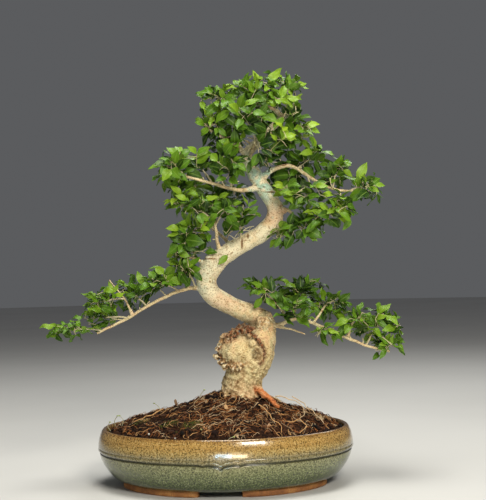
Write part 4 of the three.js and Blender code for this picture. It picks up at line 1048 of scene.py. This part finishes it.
def is_clear_of_wood(points, margin):
    middle, reach = middle_and_reach(points)
    close = np.linalg.norm(span_middles - middle, axis=1) < span_reaches + reach + margin
    if not close.any():
        return True
    away = points[:, None, :] - span_starts[None, close]
    share = np.clip((away * spans[close]).sum(2) / span_squares[close], 0, 1)
    distance = np.linalg.norm(away - spans[close] * share[:, :, None], axis=2)
    return bool((distance > span_radii[close] + margin).all())


def is_clear_of_growth(points, owner, own, others):
    middle, reach = middle_and_reach(points)
    away = ((clump_middles[:clump_count] - middle) ** 2).sum(1)
    close = np.flatnonzero(away < (clump_reaches[:clump_count] + reach + others) ** 2)
    if len(close) == 0:
        return True
    placed = clumps[close].reshape(-1, 3)
    away = (placed ** 2).sum(1)[None] + (points ** 2).sum(1)[:, None] - 2 * points @ placed.T
    least = np.repeat(np.where(clump_owners[close] == owner, own, others), clump_size)
    return bool((away >= least ** 2).all())


def take(points, owner):
    global clump_count
    for first in range(0, len(points), clump_size):
        part = points[first:first + clump_size]
        part = part[np.minimum(np.arange(clump_size), len(part) - 1)]
        clumps[clump_count] = part
        clump_middles[clump_count], clump_reaches[clump_count] = middle_and_reach(part)
        clump_owners[clump_count] = owner
        clump_count += 1


def is_in_the_crown(points, spaces):
    middles, reaches = spaces
    away = (((points[:, None] - middles[None]) / reaches[None]) ** 2).sum(2)
    return bool((away.min(1) < 1).all())


def is_past_the_leaves(points):
    away = (((points[:, None] - bare_middles[None]) / bare_reaches[None]) ** 2).sum(2)
    return bool((away < 1).any() or points[:, 0].max() > rightmost)


class Twig:
    """A green shoot that bows upward a little between its two ends."""

    def __init__(self, start, end, radii):
        distance = np.linalg.norm(start - end)
        self.start, self.end, self.radii = start, end, radii
        self.bend = start + (end - start) * 0.5 + upward * distance * shoot_bow
        self.length = distance * shoot_slack

    def at(self, t):
        return (1 - t) * (1 - t) * self.start + 2 * (1 - t) * t * self.bend + t * t * self.end

    def along(self, first):
        steps = math.ceil(self.length / shoot_pace)
        shares = [i / steps for i in range(steps + 1)]
        return np.array([self.at(t) for t in shares if t * self.length >= first]).reshape(-1, 3)


def leaf_points(leaf, along, aside, half_width):
    width = half_width * leaf["length"] * leaf_half_width
    rise = leaf["length"] * (leaf["rise"] * along - leaf["droop"] * along * along)
    rise += leaf["fold"] * np.abs(aside) * width
    return (
        leaf["root"] + np.outer(leaf["length"] * along, leaf["ahead"])
        + np.outer(aside * width, leaf["across"]) + np.outer(rise, leaf["normal"])
    )


def faced_leaf(root, ahead, normal, length):
    ahead = ahead / np.linalg.norm(ahead)
    normal = normal - ahead * normal.dot(ahead)
    normal /= np.linalg.norm(normal)
    across = np.cross(ahead, normal)
    return {"root": root, "ahead": ahead, "normal": normal, "across": across, "length": length}


def grow_leaf(spray, shoot, seed, slot, spaces, size=1.0,
              own=clear_of_own, others=clear_of_others, lean=None):
    draw = draw_from(seed)
    pair, side = slot // 2, (1 if slot % 2 == 0 else -1)
    at_tip = pair == 0
    t = max(0.12, 1 - (pair * pair_spacing + 1) / shoot.length)
    root = shoot.at(t)
    along = shoot.at(t) - shoot.at(t - 0.05)
    along /= np.linalg.norm(along)
    outward = root - spray["middle"]
    outward /= np.linalg.norm(outward)
    away_from_axis = (root - tree_axis) * (1, 1, 0)
    away_from_axis /= np.linalg.norm(away_from_axis)
    level = np.cross(along, upward)
    level /= np.linalg.norm(level)
    raised = np.cross(level, along)
    for _ in range(most_tries):
        share = draw()
        length = ((1 - share) * leaf_length[0] + share * leaf_length[1]) * (0.9 if at_tip else 1) * size
        roll = (pair % 2) * 0.9 + (draw() - 0.5) * 1.1
        opening = (0.55 if at_tip else 1) + (draw() - 0.5) * 0.5
        aside = level * (side * math.cos(roll)) + raised * abs(math.sin(roll))
        ahead = along * math.cos(opening) + aside * math.sin(opening)
        ahead[2] -= 0.3 * draw()
        normal = upward * 0.45 + outward * 0.45 + away_from_axis * 0.35
        if lean is not None:
            normal += lean
        normal[0] += (draw() - 0.5) * 1.1
        normal[1] += (draw() - 0.65) * 1.3
        leaf = faced_leaf(root, ahead, normal, length)
        leaf["rise"] = 0.1 + 0.15 * draw()
        leaf["droop"] = 0.15 + 0.35 * draw()
        leaf["fold"] = 0.2 + 0.3 * draw()
        leaf["twist"] = seed % 97 / 97
        points = leaf_points(leaf, sample_along, sample_aside, sample_widths)
        if not is_in_the_crown(points, spaces) or not is_clear_of_wood(points, clear_of_wood):
            continue
        if lean is not None and is_past_the_leaves(points):
            continue
        if is_clear_of_growth(points, spray["index"], own, others):
            take(points, spray["index"])
            spray["leaves"].append(leaf)
            return


def place_on_ball(height, angle, share, spray_middle, spray_reach):
    level = math.sqrt(max(0, 1 - height * height))
    way = np.array([level * math.cos(angle), level * math.sin(angle), height])
    return np.array(spray_middle) + np.array(spray_reach) * share * way


def keep_shoot(spray, shoot, first, own, others):
    points, index = shoot.along(first), spray["index"]
    clear = is_clear_of_growth(points, index, own, others) and is_clear_of_wood(points, clear_of_wood)
    if clear:
        take(points, index)
        spray["shoots"].append(shoot)
    return clear


grown = []
for index, (name, limb, share, middle, reach, heading, shoot_count) in enumerate(sprays):
    start = limbs[limb].at(share)
    middle = np.array(middle, float)
    stem = Twig(start, middle + (start - middle) * 0.2, stem_radii)
    take(stem.along(limbs[limb].radius_at(share)), index)
    hosts = [stem.at(t) for t in (0.35, 0.5, 0.65, 0.8, 1.0)]
    shares = [share + shift for shift in (-0.16, -0.08, 0, 0.08) if share + shift > 0.25]
    hosts += [limbs[limb].at(min(1, place)) for place in shares]
    grown.append({
        "name": name, "index": index, "middle": middle, "reach": np.array(reach, float), "stem": stem,
        "turn": math.radians(heading), "shoot_count": shoot_count, "hosts": hosts,
        "shoots": [], "leaves": [],
    })
middles = np.array([spray["middle"] for spray in grown])
reaches = np.array([spray["reach"] for spray in grown])


def grow_shoot(spray, number):
    draw = draw_from(shoot_seed + spray["index"] * 10 + number)
    start, count = spray["stem"].at(1 - 0.2 * number), spray["shoot_count"]
    turn = spray["turn"] + (number - (count - 1) / 2) * fan
    for _ in range(most_tries):
        height = (number + 0.5) / count * 1.4 - 0.45 + (draw() - 0.5) * 0.5
        angle = turn + (draw() - 0.5) * 0.9
        share = 0.45 + 0.35 * draw()
        end = place_on_ball(height, angle, share, spray["middle"], spray["reach"])
        if keep_shoot(spray, Twig(start, end, shoot_radii), free_start, clear_of_own, clear_of_others):
            return


for number in range(most_shoots):
    for spray in grown:
        if number < spray["shoot_count"]:
            grow_shoot(spray, number)
for slot in range(frame_pairs * 2):
    for spray in grown:
        for number, shoot in enumerate(list(spray["shoots"])):
            if len(spray["leaves"]) < frame_leaves:
                seed = frame_seed + spray["index"] * 400 + number * 40 + slot
                grow_leaf(spray, shoot, seed, slot, (middles, reaches + leaf_room))

leader_line = [limbs["leader"].at(t) for t in np.linspace(0.2, 0.7, 60)]
for name, root, tip, shade in marked_leaves:
    spray = next(spray for spray in grown if spray["name"] == name)
    root, tip = np.array(root, float), np.array(tip, float)
    leaf = faced_leaf(root, tip - root, np.array(marked_normal), np.linalg.norm(tip - root))
    leaf.update(shade=shade, **marked_shape)
    take(leaf_points(leaf, sample_along, sample_aside, sample_widths), spray["index"])
    spray["leaves"].append(leaf)
    twigs = [spray["stem"], *spray["shoots"]]
    starts = leader_line + [twig.at(t) for twig in twigs for t in (0.5, 0.8, 1.0)]
    start = min(starts, key=lambda spot: np.linalg.norm(spot - root))
    if np.linalg.norm(start - root) > marked_gap:
        spray["shoots"].append(Twig(start, root, marked_radii))

all_spaces = [(spray["middle"], spray["reach"]) for spray in grown]
all_spaces += [space for rows in fringes.values() for space in rows]
middles = np.array([middle for middle, _ in all_spaces], float)
reaches = np.array([reach for _, reach in all_spaces], float)
inner_space, tip_space = (middles, reaches + young_room), (middles, reaches + tip_room)
young_clear = (young_clear_own, young_clear_others)
for spray in grown:
    index, tier, hosts = spray["index"], spray["name"].split("_")[0], spray["hosts"]
    hosts += [shoot.at(t) for shoot in spray["shoots"] for t in (0.25, 0.5, 0.75, 1.0)]
    for number, shoot in enumerate(list(spray["shoots"])):
        for slot in range(filler_pairs * 2):
            seed = filler_seed + index * 400 + number * 40 + slot
            grow_leaf(spray, shoot, seed, slot, inner_space, 0.95, *young_clear, light_side)
    own_spaces = [(spray["middle"], spray["reach"]), *fringes.get(spray["name"], [])]
    shoots_here = young_shoots.get(tier, usual_shoots) + fringe_shoots * (len(own_spaces) - 1)
    outer = min(1, abs(spray["middle"][0] - tree_axis[0]) / 130)
    smallest, lean = young_leaf, light_side * (1 - 0.7 * outer)
    if tier in ("left", "right"):
        smallest, lean = low_young_leaf, low_light_side
    for number in range(shoots_here):
        draw = draw_from(young_shoot_seed + index * 100 + number)
        for _ in range(young_tries):
            height, angle, share = 2 * draw() - 1, 2 * math.pi * draw(), 0.4 + 0.65 * draw() ** 0.6
            spot = place_on_ball(height, angle, share, *own_spaces[number % len(own_spaces)])
            away = np.linalg.norm(np.array(hosts) - spot, axis=1)
            away[away < nearest_host] = np.inf
            if away.min() > furthest_host:
                continue
            shoot = Twig(hosts[int(away.argmin())], spot, young_radii)
            if keep_shoot(spray, shoot, young_free_start, young_shoot_own, young_shoot_others):
                hosts += [shoot.at(t) for t in (0.4, 0.7, 1.0)]
                for slot in range(2 * min(3, 1 + int(shoot.length / 7))):
                    seed = young_leaf_seed + (index * 100 + number) * 10 + slot
                    size, space = smallest + leaf_spread * draw(), (tip_space if slot < 2 else inner_space)
                    grow_leaf(spray, shoot, seed, slot, space, size, *young_clear, lean)
                break

stations = len(blade_along)
top_along, top_aside = np.repeat(blade_along, 5), np.tile(blade_sides, stations)
top_width = np.repeat(blade_widths, 5)
upper_faces, under_faces = [], []
base_corner, tip_corner, under_start = 0, 1, 2 + stations * 5


def top_corner(station, column):
    return 2 + station * 5 + column


def under_corner(station, column):
    return top_corner(station, column) if column in (0, 4) else under_start + station * 3 + column - 1


square = ((0, 0), (0, 1), (1, 1), (1, 0))
for column in range(4):
    for station in range(stations - 1):
        upper_faces.append([top_corner(station + s, column + c) for s, c in square])
        under_faces.append([under_corner(station + s, column + c) for c, s in square])
    last, beside = stations - 1, column + 1
    upper_faces.append([base_corner, top_corner(0, beside), top_corner(0, column)])
    under_faces.append([base_corner, under_corner(0, column), under_corner(0, beside)])
    upper_faces.append([tip_corner, top_corner(last, column), top_corner(last, beside)])
    under_faces.append([tip_corner, under_corner(last, beside), under_corner(last, column)])


def blade(leaf, slim):
    leaf = {**leaf, "fold": 0.6 * leaf["fold"], "droop": 0.75 * leaf["droop"]}
    widths = top_width * (0.86 + 0.3 * (leaf["twist"] * 7 % 1)) * slim
    wave = (0.045 + 0.3 * (1 - slim)) * np.sin(9 * top_along + 40 * leaf["twist"]) * np.abs(top_aside) ** 2
    wave -= 0.08 * top_along ** 4 * leaf["twist"]
    wave *= leaf["length"]
    top = leaf_points(leaf, top_along, top_aside, widths) + np.outer(wave, leaf["normal"])
    ends = leaf_points(leaf, np.array([0.0, 1.0]), np.zeros(2), np.zeros(2))
    ends[1] -= leaf["normal"] * 0.08 * leaf["length"] * leaf["twist"]
    under = top.reshape(stations, 5, 3)[:, 1:4].reshape(-1, 3) - leaf["normal"] * blade_thickness
    return np.vstack([ends, top, under])


blade_marks_along = np.concatenate([[0, 1], top_along, np.repeat(blade_along, 3)])
blade_marks_aside = np.concatenate([[0, 0], np.abs(top_aside), np.tile([0.5, 0, 0.5], stations)])


def leaf_finish(name, colours, rib_colour, roughness, rib_share):
    finish = Finish(name, roughness, Specular_IOR_Level=0.28)
    along, aside, tone = finish.mark("along"), finish.mark("aside"), finish.mark("tone")
    patches = finish.grain(5, 3)
    tone = finish.sum(patches, 0.35, finish.sum(tone, 1.0, -0.17))
    colour = finish.ramp(tone, list(zip((0.0, 0.4, 1.0), colours)))
    slant = finish.sum(aside, -3.4, finish.sum(along, 11.0, 0.0))
    ribs = finish.node("Math", {0: finish.sum(slant, 2 * math.pi, 0.0)}, operation="SINE").outputs[0]
    side_ribs = finish.ramp(ribs, [(0.80, 0.0), (1.0, 0.25)])
    midrib = finish.ramp(aside, [(0.05, rib_share), (0.13, 0.0)])
    rim = finish.ramp(aside, [(0.9, 0.0), (1.0, 0.15)])
    for share in (side_ribs, rim, midrib):
        colour = finish.mix(share, colour, rib_colour)
    finish.wear(colour, finish.sum(midrib, -0.8, finish.sum(side_ribs, -0.6, patches)), 0.35, 0.5)
    return finish.material


leaf_top = leaf_finish("leaf_upper_side", upper_colours, upper_rib, 0.40, 0.42)
leaf_under = leaf_finish("leaf_underside", under_colours, under_rib, 0.6, 0.4)
green_shoot = Finish("green_shoot", 0.55)
flecks = green_shoot.grain(0.9, 2)
colour = green_shoot.ramp(green_shoot.grain(9, 3), shoot_colours)
colour = green_shoot.mix(green_shoot.mark("tone"), colour, old_shoot)
colour = green_shoot.mix(green_shoot.ramp(flecks, [(0.3, 0.5), (0.42, 0.0)]), colour, shoot_fleck)
green_shoot.wear(colour, flecks, 0.15, 0.6)


# A leaf's tone from its place and a random share. Darker inside the crown and towards the back, lighter on
# the outside and top of its spray and at the top of the crown: partly the darker green of older inner
# leaves, partly painted shade and light.
def leaf_tone_and_painted_light(leaf, spray, chance):
    outer = np.linalg.norm((leaf["root"] + leaf["ahead"] * 10 - spray["middle"]) / (spray["reach"] + 10))
    higher = (leaf["root"][2] - spray["middle"][2]) / spray["reach"][2]
    behind = np.clip((leaf["root"][1] + 12) / 35, 0, 1)
    sunlit = np.clip((leaf["root"][2] - 400) / 70, 0, 1)
    inside = np.clip(1 - np.linalg.norm((leaf["root"] - (42, -5, 392)) / (60, 70, 60)), 0, 1)
    shade = 0.06 - 0.55 * inside + 0.40 * outer + 0.18 * higher + 0.6 * (chance - 0.4)
    return leaf.get("shade", np.clip(shade + 0.05 * sunlit - 0.22 * behind, 0.0, 1.0))


for spray in grown:
    foliage, slots, marks = Heap(), [], {"along": [], "aside": [], "tone": []}
    draw = draw_from(shade_seed + spray["index"])
    slim = next((width for starts, width in slim_leaves if spray["name"].startswith(starts)), 1)
    for leaf in spray["leaves"]:
        corners = blade(leaf, slim)
        foliage.add(corners, upper_faces + under_faces, 0)
        slots += [0] * len(upper_faces) + [1] * len(under_faces)
        marks["along"].append(blade_marks_along)
        marks["aside"].append(blade_marks_aside)
        marks["tone"].append(np.full(len(corners), leaf_tone_and_painted_light(leaf, spray, draw())))
    for number, shoot in enumerate([spray["stem"], *spray["shoots"]]):
        steps = max(5, math.ceil(shoot.length / 3))
        line = np.array([shoot.at(step / steps) for step in range(steps + 1)])
        line += 0.5 * swaying(line, 8, (2.5, 6.5, 9.5))
        radii = np.linspace(*shoot.radii, steps + 1) * (0.85 if number == 0 else 0.75)
        tube_points, tube_faces = strand(line, radii, twig_sides)
        foliage.add(tube_points, tube_faces, 0)
        slots += [2] * len(tube_faces)
        age = 0.85 if number == 0 else max(0.0, 0.75 - 0.03 * shoot.length) + 0.3 * draw()
        marks["along"].append(np.zeros(len(tube_points)))
        marks["aside"].append(np.zeros(len(tube_points)))
        marks["tone"].append(np.full(len(tube_points), age))
    finishes = [leaf_top, leaf_under, green_shoot.material]
    marks = {label: np.concatenate(numbers) for label, numbers in marks.items()}
    points = np.vstack(foliage.points)
    label = "leaves_" + spray["name"]
    piece = make_mesh(label, points, foliage.faces, finishes, marks, sharp=leaf_crease)
    piece.data.polygons.foreach_set("material_index", slots)
    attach(piece, "root")
    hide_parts("spray_" + spray["name"])

# The floor, the light and the camera
# A plain pale floor that isn't part of the object, soft studio light from large lamps, and a camera
# 1.3 m in front of the pot, 0.19 m above its rim and turned by just over a degree. The lamps and the
# camera are placed in metres.
floor_radius, floor_corners, floor_drop = 6.0, 96, 0.1
paper_colours = [(0.3, (0.62, 0.61, 0.59)), (0.7, (0.66, 0.65, 0.63))]
world_colour, world_strength = (0.80, 0.82, 0.86, 1), 0.13
lamps = [
    ("front", (0.5, -1.4, 1.0), (0.02, 0, 0.22), 0.5, 0.35, 18.0, (1.0, 0.96, 0.86)),
    ("window_left", (-0.08, -1.66, 0.075), (0.0, 0, 0.05), 0.3, 0.12, 2.2, (0.45, 0.76, 1.0)),
    ("window_right", (0.19, -1.66, 0.08), (0.0, 0, 0.05), 0.4, 0.1, 4.0, (1.0, 0.78, 0.52)),
    ("above", (0.0, -0.2, 1.45), (0.02, 0, 0.3), 0.6, 0.6, 16.0, (1.0, 0.99, 0.92)),
    ("behind", (0.4, 1.0, 1.3), (0.02, 0, 0.3), 0.8, 0.8, 7.0, (0.98, 1.0, 0.98)),
]
photo_width, photo_height, photo_focus = 486, 500, 1084
vanishing_point = (258, 263)
camera_place, camera_roll, sensor_width = Vector((0.0433, -1.280, 0.2558)), math.radians(1.35), 36

floor_points = []
for turn in 2 * np.pi * np.arange(floor_corners) / floor_corners:
    x, y = math.cos(turn) * floor_radius / mm, math.sin(turn) * floor_radius / mm
    floor_points.append((x, y, -floor_drop))
paper = Finish("pale_floor", 0.9)
paper.set(paper.shader.inputs["Base Color"], paper.ramp(paper.grain(400, 2), paper_colours))
floor = make_mesh("floor", floor_points, [tuple(range(floor_corners))], [paper.material])

world = bpy.data.worlds.new("studio")
world.use_nodes = True
world.node_tree.nodes["Background"].inputs["Color"].default_value = world_colour
world.node_tree.nodes["Background"].inputs["Strength"].default_value = world_strength
bpy.context.scene.world = world
for name, place, target, width, depth, power, colour in lamps:
    lamp = bpy.data.lights.new(name, "AREA")
    lamp.shape, lamp.size, lamp.size_y, lamp.energy, lamp.color = "RECTANGLE", width, depth, power, colour
    holder = bpy.data.objects.new(name, lamp)
    holder.location = place
    holder.rotation_euler = (Vector(target) - Vector(place)).to_track_quat("-Z", "Y").to_euler()
    bpy.context.scene.collection.objects.link(holder)

rightward = Vector((math.cos(camera_roll), 0, -math.sin(camera_roll)))
skyward = Vector((math.sin(camera_roll), 0, math.cos(camera_roll)))
beside = photo_width / 2 - vanishing_point[0]
above = vanishing_point[1] - photo_height / 2
forward = (Vector((0, 1, 0)) * photo_focus + rightward * beside + skyward * above).normalized()
rightward = (rightward - forward * rightward.dot(forward)).normalized()
skyward = rightward.cross(forward)
lens = bpy.data.cameras.new("camera")
lens.sensor_width = sensor_width
lens.lens = photo_focus * sensor_width / max(photo_width, photo_height)
lens.clip_start, lens.clip_end = 0.05, 50
camera = bpy.data.objects.new("camera", lens)
turn = Matrix((rightward, skyward, -forward)).transposed().to_4x4()
camera.matrix_world = Matrix.Translation(camera_place) @ turn
bpy.context.scene.collection.objects.link(camera)
bpy.context.scene.camera = camera
bpy.context.scene.view_settings.view_transform = "Standard"
